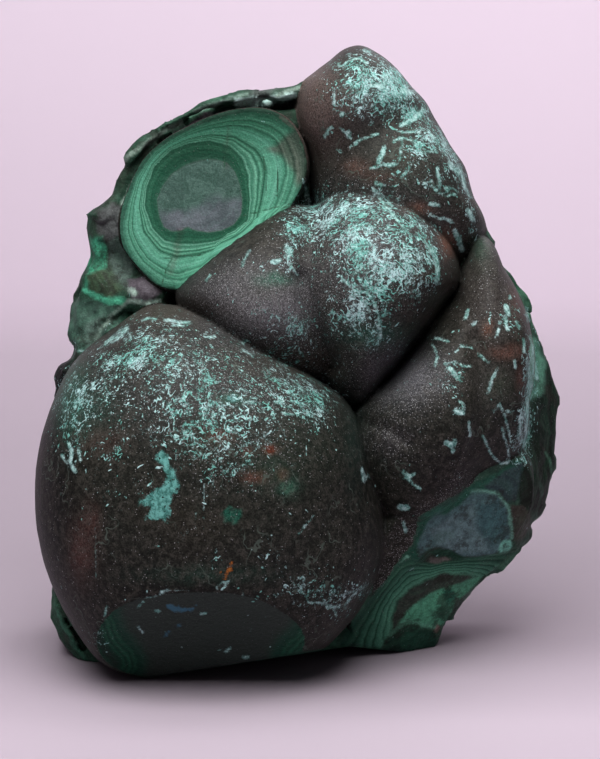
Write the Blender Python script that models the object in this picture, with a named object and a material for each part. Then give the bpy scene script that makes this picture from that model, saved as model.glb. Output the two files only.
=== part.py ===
"""Malachite specimen: a hand-sized lump of botryoidal malachite that stands on its flat underside.

Units are metres and +Z is up. The growth face looks along -Y and leans back a little. The origin is
on the floor, below the middle of the bounding box.

Every shape is laid out on the leaning growth face, in hundredths of the height: (across, up) on the
face, and depth behind it. A negative depth stands out towards -Y.
"""

import math

import bmesh
import bpy
import numpy as np
from mathutils import Matrix, Vector

# Driving dimensions
HEIGHT = 0.149
LEAN = math.radians(10)
UNIT = HEIGHT / 100

# How much of its outline each dome fills
GIRTH = 0.987

# How finely the solid is built
DOME_SEGMENTS = 64
DOME_RINGS = 32
BACK_SHARE = 0.3
ROCK_VOXEL = 1.0 * UNIT
VOXEL = 0.5 * UNIT
EASE_PASSES = 14
TARGET_TRIANGLES = 8600

# Domes: centre (across, up), depth of the widest section, half thickness, fullness, outline.
DOMES = {
    "great": (
        (-15.3, 28.7), 0.0, 28.5, 2.4,
        (
            (11.9, 28.7), (8.4, 42.4), (2.9, 46.9), (-2.7, 50.4), (-8.5, 53.9), (-15.3, 57.3),
            (-23.3, 58.8), (-30.3, 54.9), (-36.2, 49.8), (-39.9, 42.8), (-42.0, 35.9), (-42.7, 28.7),
            (-42.2, 21.6), (-39.9, 13.4), (-36.7, 7.1), (-31.6, 0.6), (-23.3, -1.9), (-15.3, -2.6),
            (-6.4, -1.9), (0.0, 1.3), (5.3, 7.7), (9.3, 14.2), (11.4, 21.4),
        ),
    ),
    "great_shoulder": (
        (0.0, 18.1), 1.0, 22.0, 2.2,
        (
            (13.4, 18.1), (13.6, 22.2), (11.9, 27.8), (4.8, 31.8), (-3.2, 31.8), (-11.3, 27.0),
            (-13.7, 18.1), (-11.3, 7.6), (-4.8, 1.2), (2.4, 2.5), (7.1, 6.3), (10.0, 9.9),
            (11.6, 12.8), (12.6, 15.7),
        ),
    ),
    "middle": (
        (12.2, 61.8), 4.0, 22.0, 2.1,
        (
            (26.0, 62.1), (25.2, 67.5), (21.1, 73.7), (16.3, 77.3), (11.4, 78.4), (5.7, 77.6),
            (1.2, 73.2), (-2.8, 67.5), (-4.2, 60.0), (-1.5, 52.5), (3.4, 46.0), (9.3, 41.8),
            (13.8, 46.4), (18.7, 52.1), (23.6, 58.6),
        ),
    ),
    "middle_left": (
        (-6.2, 59.7), 4.0, 19.5, 2.1,
        (
            (8.0, 59.4), (6.5, 67.5), (2.1, 74.5), (-2.4, 75.0), (-9.8, 71.0), (-16.0, 66.0),
            (-20.5, 60.0), (-16.3, 54.5), (-9.8, 48.8), (-1.6, 45.6), (4.8, 48.3),
        ),
    ),
    "saddle": (
        (16.4, 77.6), 8.0, 17.5, 2.1,
        (
            (28.6, 76.4), (26.8, 81.7), (24.5, 85.0), (21.7, 89.4), (16.4, 92.3), (8.2, 90.7),
            (3.0, 85.8), (1.6, 79.2), (3.3, 71.0), (9.8, 64.4), (18.1, 61.1), (26.3, 64.4),
            (30.7, 70.7),
        ),
    ),
    "top": (
        (9.5, 90.8), 9.0, 17.5, 2.2,
        (
            (20.9, 90.5), (18.4, 94.4), (16.1, 97.2), (12.8, 99.9), (9.9, 101.2), (7.2, 100.7),
            (4.6, 98.7), (2.0, 96.7), (-0.3, 94.7), (-1.2, 91.6), (-0.7, 87.5), (2.0, 82.9),
            (6.6, 80.6), (12.3, 81.8), (18.1, 85.0),
        ),
    ),
    "right": (
        (21.5, 40.7), 5.0, 19.5, 2.2,
        (
            (33.0, 39.9), (33.3, 48.0), (29.5, 56.3), (23.5, 57.8), (18.7, 52.1), (13.9, 46.7),
            (9.0, 42.6), (7.3, 36.6), (8.1, 30.1), (11.4, 24.4), (16.3, 21.1), (22.8, 23.6),
            (28.5, 30.1),
        ),
    ),
    "far_right": (
        (30.5, 51.3), 5.5, 16.5, 2.3,
        (
            (38.0, 52.1), (36.2, 58.8), (33.1, 64.7), (31.0, 69.2), (28.6, 69.9), (26.4, 65.6),
            (24.5, 59.4), (21.5, 51.3), (22.5, 41.5), (26.0, 33.3), (32.0, 30.9), (36.2, 35.0),
            (37.4, 43.1),
        ),
    ),
}

# The crust below the right-hand dome, broken off along a line that runs down to the left
FOOT = (
    (21.5, 22.0), 4.0, 13.0, 2.1,
    (
        (38.0, 27.0), (36.0, 36.0), (31.5, 34.5), (27.5, 31.5), (25.7, 30.0), (22.2, 28.0),
        (16.9, 26.5), (13.0, 25.5), (10.5, 21.5), (8.5, 15.0), (7.0, 8.5), (8.6, 4.4),
        (12.4, 3.0), (16.5, 2.6), (21.0, 4.6), (25.2, 10.0), (30.6, 15.4), (35.4, 20.6),
    ),
)

# The eye: a dome sawn flat, so that its growth rings show
EYE = (
    (-14.2, 75.4), 1.5, 12.0, 2.6,
    (
        (1.8, 79.8), (1.5, 83.2), (0.0, 86.7), (-2.1, 89.0), (-5.7, 90.4), (-9.8, 90.3),
        (-13.9, 89.3), (-18.0, 87.5), (-22.1, 85.2), (-25.4, 82.1), (-27.8, 77.5), (-29.3, 72.2),
        (-28.8, 67.7), (-26.2, 64.1), (-22.9, 61.1), (-19.3, 60.5), (-15.6, 62.4), (-11.1, 65.5),
        (-6.2, 68.8), (-2.8, 71.8), (-0.2, 75.2),
    ),
)

# The broken rock that carries the domes: its outline, and its sections front to back as
# (depth, scale of the outline)
ROCK_CENTRE = (0.0, 47.0)
ROCK_OUTLINE = (
    (7.5, 97.7), (5.0, 96.4), (2.0, 95.4), (0.0, 95.1), (-2.0, 94.6), (-6.3, 93.6), (-9.9, 94.3),
    (-12.9, 92.6), (-16.9, 91.5), (-20.4, 89.4), (-25.6, 87.2), (-27.2, 85.1), (-29.6, 83.0),
    (-30.3, 79.1), (-33.3, 75.0), (-35.1, 72.6), (-35.0, 66.9), (-36.0, 62.0), (-37.9, 59.0),
    (-37.9, 54.5), (-37.0, 52.2), (-38.1, 49.8), (-40.0, 48.6), (-40.4, 46.8), (-39.7, 45.0),
    (-41.4, 36.4), (-41.8, 28.1), (-41.1, 19.0),
    (-40.6, 12.4), (-41.1, 8.3), (-39.3, 3.3), (-36.5, -1.3), (-29.8, -5.0), (-16.6, -6.7),
    (0.0, -5.0), (7.5, -1.0), (16.6, -1.0), (20.7, -0.4), (22.2, 2.0), (25.2, 7.9), (27.5, 10.7),
    (33.1, 14.9), (38.3, 20.2), (38.3, 22.5), (40.6, 24.5), (42.1, 31.5), (42.4, 38.1), (43.1, 42.2),
    (42.0, 47.0), (40.4, 51.3), (39.2, 54.9), (37.2, 59.6), (33.7, 64.9), (31.4, 69.0), (29.3, 73.4),
    (26.3, 78.7), (22.5, 83.7), (19.1, 89.1), (16.2, 93.6), (12.4, 96.9),
)

# The first two sections make the front hollow, so that it doesn't show between the domes.
ROCK_SECTIONS = (
    (8.5, 0.66), (2.5, 0.84), (2.5, 0.95), (5.0, 0.985), (12.0, 1.0), (20.0, 0.985), (28.0, 0.93),
    (42.0, 0.80),
)

# The groove that parts the eye from the rim round it: how much wider than the eye, and how deep
SOCKET_SCALE = 1.115
SOCKET_DEPTH = 8.0

# Chunks that stand out from the rock: (across, up, depth, radius)
CHUNKS = (
    (-29.8, 70.5, 5.5, 4.6), (-30.2, 61.0, 5.5, 4.8), (-24.5, 60.8, 3.0, 3.8),
    (-31.5, 53.5, 5.5, 4.8), (-34.0, 6.5, 6.5, 4.0), (36.8, 42.0, 7.5, 4.6), (35.6, 31.0, 6.5, 5.4),
    (16.0, 3.5, 11.0, 6.5), (8.5, 4.0, 11.0, 7.0),
)

# The raised edge of the rim round the eye: (across, up) along it, its depth, and its beads
RIDGE = (
    (-27.0, 82.5), (-25.4, 83.9), (-22.7, 85.9), (-19.4, 87.6), (-15.5, 90.1), (-12.0, 91.2),
    (-8.4, 91.8), (-4.5, 92.1), (-0.3, 93.0),
)
RIDGE_DEPTH = 2.2
RIDGE_RADIUS = 1.7
RIDGE_BEADS = 24

# Flat cuts, each a point on the cut (across, up, depth) and the way the removed side lies
EYE_CUT = ((-14.2, 75.4, -1.6), (-0.10, 0.05, -1.0))
GREAT_CUT = ((-15.3, 15.3, -27.3), (0.0, -16.0, -13.0))
ROCK_CUTS = (
    ((24.4, 24.0, -5.0), (0.67, -0.74, -0.95)),
    ((24.0, 12.0, 4.5), (0.45, -0.55, -1.00)),
)

# The same for the rim on the right, made once the rock has its relief
RIM_CUTS = (
    ((34.2, 27.0, -0.85), (1.0, -0.34, -0.55)),
    ((37.5, 43.0, 4.5), (0.80, 0.0, -0.60)),
)

# The breaks across the back, the same but upright: (across, back, height) and the way out
BACK_BREAKS = (
    ((0.0, 31.0, 50.0), (0.05, 1.0, 0.02)),
    ((22.0, 30.0, 50.0), (0.55, 1.0, 0.10)),
    ((-24.0, 30.0, 40.0), (-0.45, 1.0, 0.25)),
    ((5.0, 31.0, 80.0), (0.10, 1.0, 0.25)),
    ((0.0, 30.0, 12.0), (0.05, 1.0, -0.50)),
)

# Roughness of the broken rock: a coarse, chipped relief and a finer one
CHIP_SIZE = 7.0 * UNIT
CHIP_DEPTH = 2.2 * UNIT
GRIT_SIZE = 2.2 * UNIT
GRIT_DEPTH = 0.5 * UNIT

# The stone's overall look
STONE_COLOUR = (0.045, 0.10, 0.07, 1)
STONE_ROUGHNESS = 0.6


def place(across, up, depth):
    """A point on the leaning growth face, in metres with +Z up."""
    back = up * math.sin(LEAN) + depth * math.cos(LEAN)
    rise = up * math.cos(LEAN) - depth * math.sin(LEAN)
    return Vector((across, back, rise)) * UNIT


def reach_round(outline, centre, angles):
    """How far the outline lies from the centre at each angle, as a smooth closed curve."""
    across, up = (np.array(outline) - np.array(centre)).T
    order = np.argsort(np.arctan2(up, across))
    turn = np.arctan2(up, across)[order]
    reach = np.hypot(across, up)[order]
    turn = np.concatenate((turn[-2:] - math.tau, turn, turn[:2] + math.tau))
    reach = np.concatenate((reach[-2:], reach, reach[:2]))
    slope = (reach[2:] - reach[:-2]) / (turn[2:] - turn[:-2])
    turn = turn[1:-1]
    reach = reach[1:-1]
    before = np.clip(np.searchsorted(turn, angles, side="right") - 1, 0, len(turn) - 2)
    gap = turn[before + 1] - turn[before]
    part = (angles - turn[before]) / gap
    start = (1 + 2 * part) * (1 - part) ** 2 * reach[before]
    end = part**2 * (3 - 2 * part) * reach[before + 1]
    leave = part * (1 - part) ** 2 * gap * slope[before]
    arrive = part**2 * (part - 1) * gap * slope[before + 1]
    return start + end + leave + arrive


def new_object(name, bm):
    bmesh.ops.recalc_face_normals(bm, faces=bm.faces)
    mesh = bpy.data.meshes.new(name)
    bm.to_mesh(mesh)
    bm.free()
    obj = bpy.data.objects.new(name, mesh)
    bpy.context.scene.collection.objects.link(obj)
    return obj


def helper(obj):
    obj.hide_render = True
    obj.display_type = "WIRE"
    return obj


def dome(name, centre, depth, half, fullness, outline):
    """A ball reshaped: its girth follows the outline, and a higher fullness makes it boxier."""
    bm = bmesh.new()
    bmesh.ops.create_uvsphere(bm, u_segments=DOME_SEGMENTS, v_segments=DOME_RINGS, radius=1)
    ball = np.array([vert.co for vert in bm.verts])
    angles = np.arctan2(ball[:, 1], ball[:, 0])
    spread = np.hypot(ball[:, 0], ball[:, 1]).clip(0, 1) ** (2 / fullness)
    reach = GIRTH * reach_round(outline, centre, angles)
    # Near its crown a dome is round, whatever the shape of its foot.
    evenness = 1 - spread**2 * (3 - 2 * spread)
    reach = reach + (reach.mean() - reach) * evenness
    rise = np.sign(ball[:, 2]) * np.abs(ball[:, 2]) ** (2 / fullness)
    rise = np.where(rise < 0, rise * BACK_SHARE, rise)
    for vert, angle, out, up in zip(bm.verts, angles, spread * reach, rise):
        across = centre[0] + out * math.cos(angle)
        vert.co = place(across, centre[1] + out * math.sin(angle), depth - up * half)
    return new_object(name, bm)


def chunk(name, across, up, depth, radius):
    bm = bmesh.new()
    bmesh.ops.create_icosphere(bm, subdivisions=1, radius=radius * UNIT)
    bmesh.ops.translate(bm, verts=bm.verts, vec=place(across, up, depth))
    return new_object(name, bm)


def ridge_sizes():
    """Beads evenly spaced along the ridge, as sizes for chunk."""
    across, up = np.array(RIDGE).T
    length = np.concatenate(([0.0], np.cumsum(np.hypot(np.diff(across), np.diff(up)))))
    stops = np.linspace(0.0, length[-1], RIDGE_BEADS)
    along = zip(np.interp(stops, length, across), np.interp(stops, length, up))
    return [(x, y, RIDGE_DEPTH, RIDGE_RADIUS) for x, y in along]


def socket():
    """The eye, a little wider and set deeper, to hollow the rock round the real one."""
    centre, depth, half, fullness, outline = EYE
    wide = centre + (np.array(outline) - centre) * SOCKET_SCALE
    return helper(dome("socket", centre, depth, SOCKET_DEPTH, fullness, wide))


def rock_block():
    """The outline carried through every section and closed at both ends."""
    bm = bmesh.new()
    rings = []
    for depth, scale in ROCK_SECTIONS:
        ring = []
        for across, up in ROCK_OUTLINE:
            wide = ROCK_CENTRE[0] + (across - ROCK_CENTRE[0]) * scale
            high = ROCK_CENTRE[1] + (up - ROCK_CENTRE[1]) * scale
            ring.append(bm.verts.new(place(wide, high, depth)))
        rings.append(ring)
    for near, far in zip(rings, rings[1:]):
        for i, corner in enumerate(near):
            j = (i + 1) % len(near)
            bm.faces.new((corner, near[j], far[j], far[i]))
    bm.faces.new(rings[0])
    bm.faces.new(rings[-1])
    bmesh.ops.triangulate(bm, faces=bm.faces)
    return new_object("rock", bm)


def cut_flat(obj, point, away):
    """Takes off what lies beyond the plane through the point and closes the stone there."""
    bm = bmesh.new()
    bm.from_mesh(obj.data)
    everything = [*bm.verts, *bm.edges, *bm.faces]
    cut = bmesh.ops.bisect_plane(bm, geom=everything, plane_co=point, plane_no=away, clear_outer=True)
    rim = [item for item in cut["geom_cut"] if isinstance(item, bmesh.types.BMEdge)]
    bmesh.ops.triangle_fill(bm, edges=rim, use_beauty=True, normal=away)
    bmesh.ops.recalc_face_normals(bm, faces=bm.faces)
    bm.to_mesh(obj.data)
    bm.free()


def cut_on_face(obj, point, away):
    cut_flat(obj, place(*point), place(*away).normalized())


def boolean(obj, other, operation):
    modifier = obj.modifiers.new(f"{operation.lower()} {other.name}", "BOOLEAN")
    modifier.operation = operation
    modifier.solver = "EXACT"
    modifier.object = other


def remesh(obj, size):
    modifier = obj.modifiers.new("skin", "REMESH")
    modifier.mode = "VOXEL"
    modifier.voxel_size = size


def relief(obj, name, kind, size, depth):
    texture = bpy.data.textures.new(name, kind)
    texture.noise_scale = size
    modifier = obj.modifiers.new(name, "DISPLACE")
    modifier.texture = texture
    modifier.texture_coords = "LOCAL"
    modifier.direction = "NORMAL"
    modifier.strength = depth
    modifier.mid_level = 0.5


def settle(obj):
    """The object's mesh as its modifiers leave it, with no modifier left."""
    bpy.context.view_layer.update()
    shaped = bpy.data.meshes.new_from_object(obj.evaluated_get(bpy.context.evaluated_depsgraph_get()))
    obj.modifiers.clear()
    obj.data = shaped
    return obj


def join(name, pieces):
    """One object that holds the shells of all the pieces; a remesh makes them one skin."""
    bm = bmesh.new()
    for piece in pieces:
        bm.from_mesh(piece.data)
        bpy.data.objects.remove(piece)
    return new_object(name, bm)


def stone_material():
    material = bpy.data.materials.new("malachite")
    material.use_nodes = True
    shader = material.node_tree.nodes["Principled BSDF"]
    shader.inputs["Base Color"].default_value = STONE_COLOUR
    shader.inputs["Roughness"].default_value = STONE_ROUGHNESS
    return material


for leftover in list(bpy.data.objects):
    bpy.data.objects.remove(leftover)

# The rock, with its flat breaks and its chipped relief
rock = rock_block()
boolean(rock, socket(), "DIFFERENCE")
settle(rock)
rock = join("rock", [rock, dome("foot", *FOOT)])
remesh(rock, ROCK_VOXEL)
settle(rock)
for cut in ROCK_CUTS:
    cut_on_face(rock, *cut)
for point, away in BACK_BREAKS:
    cut_flat(rock, Vector(point) * UNIT, Vector(away).normalized())
chunk_sizes = [*CHUNKS, *ridge_sizes()]
chunks = [chunk(f"chunk_{number}", *size) for number, size in enumerate(chunk_sizes)]
rock = join("rock", [rock, *chunks])
remesh(rock, ROCK_VOXEL)
relief(rock, "chips", "VORONOI", CHIP_SIZE, CHIP_DEPTH)
relief(rock, "grit", "CLOUDS", GRIT_SIZE, GRIT_DEPTH)
settle(rock)
for cut in RIM_CUTS:
    cut_on_face(rock, *cut)

# The domes; the great dome has lost a flat chip below, and the eye is sawn flat
domes = {name: dome(name, *shape) for name, shape in DOMES.items()}
for name in ("great", "great_shoulder"):
    cut_on_face(domes[name], *GREAT_CUT)
domes["eye"] = dome("eye", *EYE)
cut_on_face(domes["eye"], *EYE_CUT)

# One grown body, with the creases between its domes eased a little
stone = join("malachite_specimen", [rock, *domes.values()])
remesh(stone, VOXEL)
ease = stone.modifiers.new("ease", "SMOOTH")
ease.iterations = EASE_PASSES
settle(stone)
thin = stone.modifiers.new("thin", "DECIMATE")
stone.data.calc_loop_triangles()
thin.ratio = TARGET_TRIANGLES / len(stone.data.loop_triangles)
settle(stone)

# The flat underside, then the origin below the middle of the bounding box
cut_flat(stone, Vector((0, 0, 0)), Vector((0, 0, -1)))
for spare in [obj for obj in bpy.data.objects if obj.hide_render]:
    bpy.data.objects.remove(spare)
corners = np.array([vert.co for vert in stone.data.vertices])
middle = (corners.min(axis=0) + corners.max(axis=0)) / 2
stone.data.transform(Matrix.Translation((-middle[0], -middle[1], -corners[:, 2].min())))
stone.data.materials.clear()
stone.data.materials.append(stone_material())
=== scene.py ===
import functools
import math

import bmesh
import bpy
import numpy as np
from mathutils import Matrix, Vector


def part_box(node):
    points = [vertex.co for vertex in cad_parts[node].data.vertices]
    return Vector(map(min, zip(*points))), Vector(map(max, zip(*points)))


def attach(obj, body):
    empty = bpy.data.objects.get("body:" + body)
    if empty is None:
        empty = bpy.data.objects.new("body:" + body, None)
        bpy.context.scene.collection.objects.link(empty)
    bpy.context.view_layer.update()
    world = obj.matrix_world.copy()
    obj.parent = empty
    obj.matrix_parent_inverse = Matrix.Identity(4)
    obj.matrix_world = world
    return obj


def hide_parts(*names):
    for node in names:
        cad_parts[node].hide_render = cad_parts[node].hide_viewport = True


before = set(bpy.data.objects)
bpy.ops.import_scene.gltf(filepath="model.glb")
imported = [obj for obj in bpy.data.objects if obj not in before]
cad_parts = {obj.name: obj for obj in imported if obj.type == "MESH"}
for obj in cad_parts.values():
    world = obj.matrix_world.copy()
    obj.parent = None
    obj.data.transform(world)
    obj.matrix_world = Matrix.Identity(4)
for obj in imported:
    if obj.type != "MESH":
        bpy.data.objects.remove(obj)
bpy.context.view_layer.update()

NODE = "malachite_specimen"
low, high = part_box(NODE)

# The growth face leans back; lengths on it are in hundredths of the stone's height.
LEAN = math.radians(10)
SIGHT_DISTANCE = 413.0
SIGHT_HEIGHT = 46.46
# A place on the face is also told in picture pixels, as seen from the sight point.
PIXELS_PER_UNIT = 6.21
PIXEL_MIDDLE = 300.0
PIXEL_FOOT = 668.0
PHOTO_SIZE = (600, 759)

# Domes: centre (across, up), depth of the widest section, half thickness, fullness, outline.
GREAT = (
    (-15.3, 28.7), 0.0, 28.5, 2.4,
    (
        (11.9, 28.7), (8.4, 42.4), (2.9, 46.9), (-2.7, 50.4), (-8.5, 53.9), (-15.3, 57.3), (-23.3, 58.8),
        (-30.3, 54.9), (-36.2, 49.8), (-39.9, 42.8), (-42.0, 35.9), (-42.7, 28.7), (-42.2, 21.6),
        (-39.9, 13.4), (-36.7, 7.1), (-31.6, 0.6), (-23.3, -1.9), (-15.3, -2.6), (-6.4, -1.9), (0.0, 1.3),
        (5.3, 7.7), (9.3, 14.2), (11.4, 21.4),
    ),
)
GREAT_SHOULDER = (
    (0.0, 18.1), 1.0, 22.0, 2.2,
    (
        (13.4, 18.1), (13.6, 22.2), (11.9, 27.8), (4.8, 31.8), (-3.2, 31.8), (-11.3, 27.0), (-13.7, 18.1),
        (-11.3, 7.6), (-4.8, 1.2), (2.4, 2.5), (7.1, 6.3), (10.0, 9.9), (11.6, 12.8), (12.6, 15.7),
    ),
)
MIDDLE = (
    (12.2, 61.8), 4.0, 22.0, 2.1,
    (
        (26.0, 62.1), (25.2, 67.5), (21.1, 73.7), (16.3, 77.3), (11.4, 78.4), (5.7, 77.6), (1.2, 73.2),
        (-2.8, 67.5), (-4.2, 60.0), (-1.5, 52.5), (3.4, 46.0), (9.3, 41.8), (13.8, 46.4), (18.7, 52.1),
        (23.6, 58.6),
    ),
)
MIDDLE_LEFT = (
    (-6.2, 59.7), 4.0, 19.5, 2.1,
    (
        (10.0, 59.4), (8.0, 67.5), (2.6, 74.5), (-2.4, 75.0), (-9.8, 71.0), (-16.0, 66.0), (-20.5, 60.0),
        (-16.3, 54.5), (-9.8, 48.8), (-1.6, 45.6), (6.3, 47.8),
    ),
)
SADDLE = (
    (16.4, 77.6), 8.0, 17.5, 2.1,
    (
        (28.6, 76.4), (26.8, 81.7), (24.5, 85.0), (21.7, 89.4), (16.4, 92.3), (8.2, 90.7), (3.0, 85.8),
        (1.6, 79.2), (3.3, 71.0), (9.8, 64.4), (18.1, 61.1), (26.3, 64.4), (30.7, 70.7),
    ),
)
TOP = (
    (9.5, 90.8), 9.0, 17.5, 2.2,
    (
        (20.9, 90.5), (18.4, 94.4), (16.1, 97.2), (12.8, 99.9), (9.9, 101.2), (7.2, 100.7), (4.6, 98.7),
        (2.0, 96.7), (-0.3, 94.7), (-1.2, 91.6), (-0.7, 87.5), (2.0, 82.9), (6.6, 80.6), (12.3, 81.8),
        (18.1, 85.0),
    ),
)
RIGHT = (
    (21.5, 40.7), 5.0, 19.5, 2.2,
    (
        (33.0, 39.9), (33.3, 48.0), (29.5, 56.3), (23.5, 57.8), (18.7, 52.1), (13.9, 46.7), (9.0, 42.6),
        (7.3, 36.6), (8.1, 30.1), (11.4, 24.4), (16.3, 21.1), (22.8, 23.6), (28.5, 30.1),
    ),
)
FAR_RIGHT = (
    (30.5, 51.3), 5.5, 16.5, 2.3,
    (
        (38.0, 52.1), (36.2, 58.8), (33.1, 64.7), (31.0, 69.2), (28.6, 69.9), (26.4, 65.6), (24.5, 59.4),
        (21.5, 51.3), (22.5, 41.5), (26.0, 33.3), (32.0, 30.9), (36.2, 35.0), (37.4, 43.1),
    ),
)
FOOT = (
    (21.5, 22.0), 4.0, 13.0, 2.1,
    (
        (38.0, 27.0), (36.0, 36.0), (31.5, 34.5), (27.5, 31.5), (25.7, 30.0), (22.2, 28.0), (16.9, 26.5),
        (13.0, 25.5), (10.5, 21.5), (8.5, 15.0), (7.0, 8.5), (8.6, 4.4), (12.4, 3.0), (16.5, 2.6),
        (21.0, 4.6), (25.2, 10.0), (30.6, 15.4), (35.4, 20.6),
    ),
)
EYE = (
    (-14.2, 75.4), 1.5, 12.0, 2.6,
    (
        (1.8, 79.8), (1.5, 83.2), (0.0, 86.7), (-2.1, 89.0), (-5.7, 90.4), (-9.8, 90.3), (-13.9, 89.3),
        (-18.0, 87.5), (-22.1, 85.2), (-25.4, 82.1), (-27.8, 77.5), (-29.3, 72.2), (-28.8, 67.7),
        (-26.2, 64.1), (-22.9, 61.1), (-19.3, 60.5), (-15.6, 62.4), (-11.1, 65.5), (-6.2, 68.8), (-2.8, 71.8),
        (-0.2, 75.2),
    ),
)
BACK_SHARE = 0.3
GIRTH = 0.987

# The broken rock: outline, and (depth, scale) of its sections front to back
ROCK_CENTRE = (0.0, 47.0)
ROCK_OUTLINE = (
    (7.5, 97.7), (5.0, 96.4), (2.0, 95.4), (0.0, 95.1), (-2.0, 94.6), (-6.3, 93.6), (-9.9, 94.3),
    (-12.9, 92.6), (-16.9, 91.5), (-20.4, 89.4), (-25.6, 87.2), (-27.2, 85.1), (-29.6, 83.0), (-30.3, 79.1),
    (-33.3, 75.0), (-35.1, 72.6), (-35.0, 66.9), (-36.0, 62.0), (-37.9, 59.0), (-37.9, 54.5), (-37.0, 52.2),
    (-38.1, 49.8), (-40.0, 48.6), (-40.4, 46.8), (-39.7, 45.0), (-41.4, 36.4), (-41.8, 28.1), (-41.1, 19.0),
    (-40.6, 12.4), (-41.1, 8.3), (-39.3, 3.3), (-36.5, -1.3), (-29.8, -5.0), (-16.6, -6.7), (0.0, -5.0),
    (7.5, -1.0), (16.6, -1.0), (20.7, -0.4), (22.2, 2.0), (25.2, 7.9), (27.5, 10.7), (33.1, 14.9),
    (38.3, 20.2), (38.3, 22.5), (40.6, 24.5), (42.1, 31.5), (42.4, 38.1), (43.1, 42.2), (42.0, 47.0),
    (40.4, 51.3), (39.2, 54.9), (37.2, 59.6), (33.7, 64.9), (31.4, 69.0), (29.3, 73.4), (26.3, 78.7),
    (22.5, 83.7), (19.1, 89.1), (16.2, 93.6), (12.4, 96.9),
)
ROCK_SECTIONS = ((2.5, 0.95), (5.0, 0.985), (12.0, 1.0), (20.0, 0.985), (28.0, 0.93), (42.0, 0.80))
# Away from the rim the rock lies deeper, so that it doesn't show between the domes.
FRONT_FALL = 6.0
FRONT_FALLS = (7.0, 14.0)
SOCKET_SCALE = 1.10
SOCKET_DEPTH = 8.0
CHUNKS = (
    (-29.8, 70.5, 5.5, 4.6), (-30.2, 61.0, 5.5, 4.8), (-24.5, 60.8, 3.0, 3.8), (-31.5, 53.5, 5.5, 4.8),
    (-34.0, 6.5, 6.5, 4.0), (36.8, 42.0, 7.5, 4.6), (35.6, 31.0, 6.5, 5.4), (16.0, 3.5, 11.0, 6.5),
    (8.5, 4.0, 11.0, 7.0),
)
CREASE = 0.3
EYE_CUT = ((-14.2, 75.4, -1.6), (-0.10, 0.05, -1.0))
GREAT_CUT = ((-15.3, 15.3, -27.3), (0.0, -16.0, -13.0))
ROCK_CUTS = (((24.4, 24.0, -5.0), (0.67, -0.74, -0.95)), ((24.0, 12.0, 4.5), (0.45, -0.55, -1.0)))
RIM_CUTS = (((34.2, 27.0, -0.85), (1.0, -0.34, -0.55)), ((37.5, 43.0, 4.5), (0.8, 0.0, -0.6)))
# The lower part of the right-hand break lies one step deeper.
SHELF = (
    (419, 562), (430, 553), (440, 549), (452, 551), (463, 558), (480, 557), (500, 554), (512, 550),
    (530, 560), (480, 620), (440, 670), (350, 670), (350, 640), (372, 604), (386, 590), (400, 575),
)
SHELF_DROP = 1.0
# Gaps between the rim and the domes: path, half width in pixels, depth of the bottom
GAPS = (
    (((148, 160), (158, 145), (172, 134)), 2.8, 3.6),
    (((186, 123), (205, 114), (225, 110), (246, 109)), 3.2, 3.8),
    (((266, 105), (280, 106), (297, 104)), 6.5, 8.0),
    (((58, 596), (67, 622), (78, 637), (92, 654)), 2.4, 5.0),
)
# The raised edge of the rim round the sawn dome: path in pixels, its depth and its radius
RIDGE = (
    (133, 157), (143, 148), (160, 136), (180, 125), (204, 110), (226, 103), (248, 99), (272, 97), (298, 92),
)
RIDGE_DEPTH = 2.0
RIDGE_RADIUS = 1.5
# Soft valleys in the domes: path and half width in pixels, depth
MIDDLE_VALLEY = (((300, 280), (310, 312), (321, 340), (333, 366)), 9.0, 1.3)
RIGHT_VALLEYS = (
    (((474, 340), (481, 375), (481, 415), (472, 448)), 9.0, 0.9),
    (((362, 421), (385, 428), (410, 444)), 6.0, 0.5),
)
BACK_BREAKS = (
    ((0.0, 31.0, 50.0), (0.05, 1.0, 0.02)), ((22.0, 30.0, 50.0), (0.55, 1.0, 0.1)),
    ((-24.0, 30.0, 40.0), (-0.45, 1.0, 0.25)), ((5.0, 31.0, 80.0), (0.1, 1.0, 0.25)),
    ((0.0, 30.0, 12.0), (0.05, 1.0, -0.5)),
)
UNDER_BREAKS = (((-15.0, -0.5, 0.0), (0.165, -0.3, -1.0)), ((9.0, 12.0, 0.0), (-0.105, -0.3, -1.0)))

# Soft joins, in units
SHOULDER_BLEND = 4.0
RIGHT_BLEND = 4.0
MIDDLE_BLEND = 1.5
UPPER_BLEND = 3.0
CHUNK_BLEND = 2.0
ROCK_ROUND = 1.0
SOCKET_ROUND = 0.8
BACK_ROUND = 1.5
RIM_ROUND = 0.4
UNDER_ROUND = 0.6
SHELF_SOFT = (-1.0, 2.0)
# Relief of the broken rock, and of the domes as height, size and seed
CHIP_SIZE = 7.0
CHIP_RELIEF = 0.55
GRAIN_SIZE = 3.2
GRAIN_RELIEF = 0.40
RIM_RELIEF = 0.25
CORNER_RELIEF = 0.10
RIPPLES = ((0.10, 7.0, 3), (0.03, 2.4, 4))

CELL = 0.45
MOST_TRIANGLES = 193000
# The fields are worked out for about this many points at a time, to save memory.
POINTS_AT_ONCE = 400000
# Points that face the sight less squarely than this need less detail.
FACING_FINE = 0.40


# ---- fields: negative inside the stone, about a distance in units -------------------------------

ANGLES = np.linspace(-math.pi, math.pi, 721)


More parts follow.
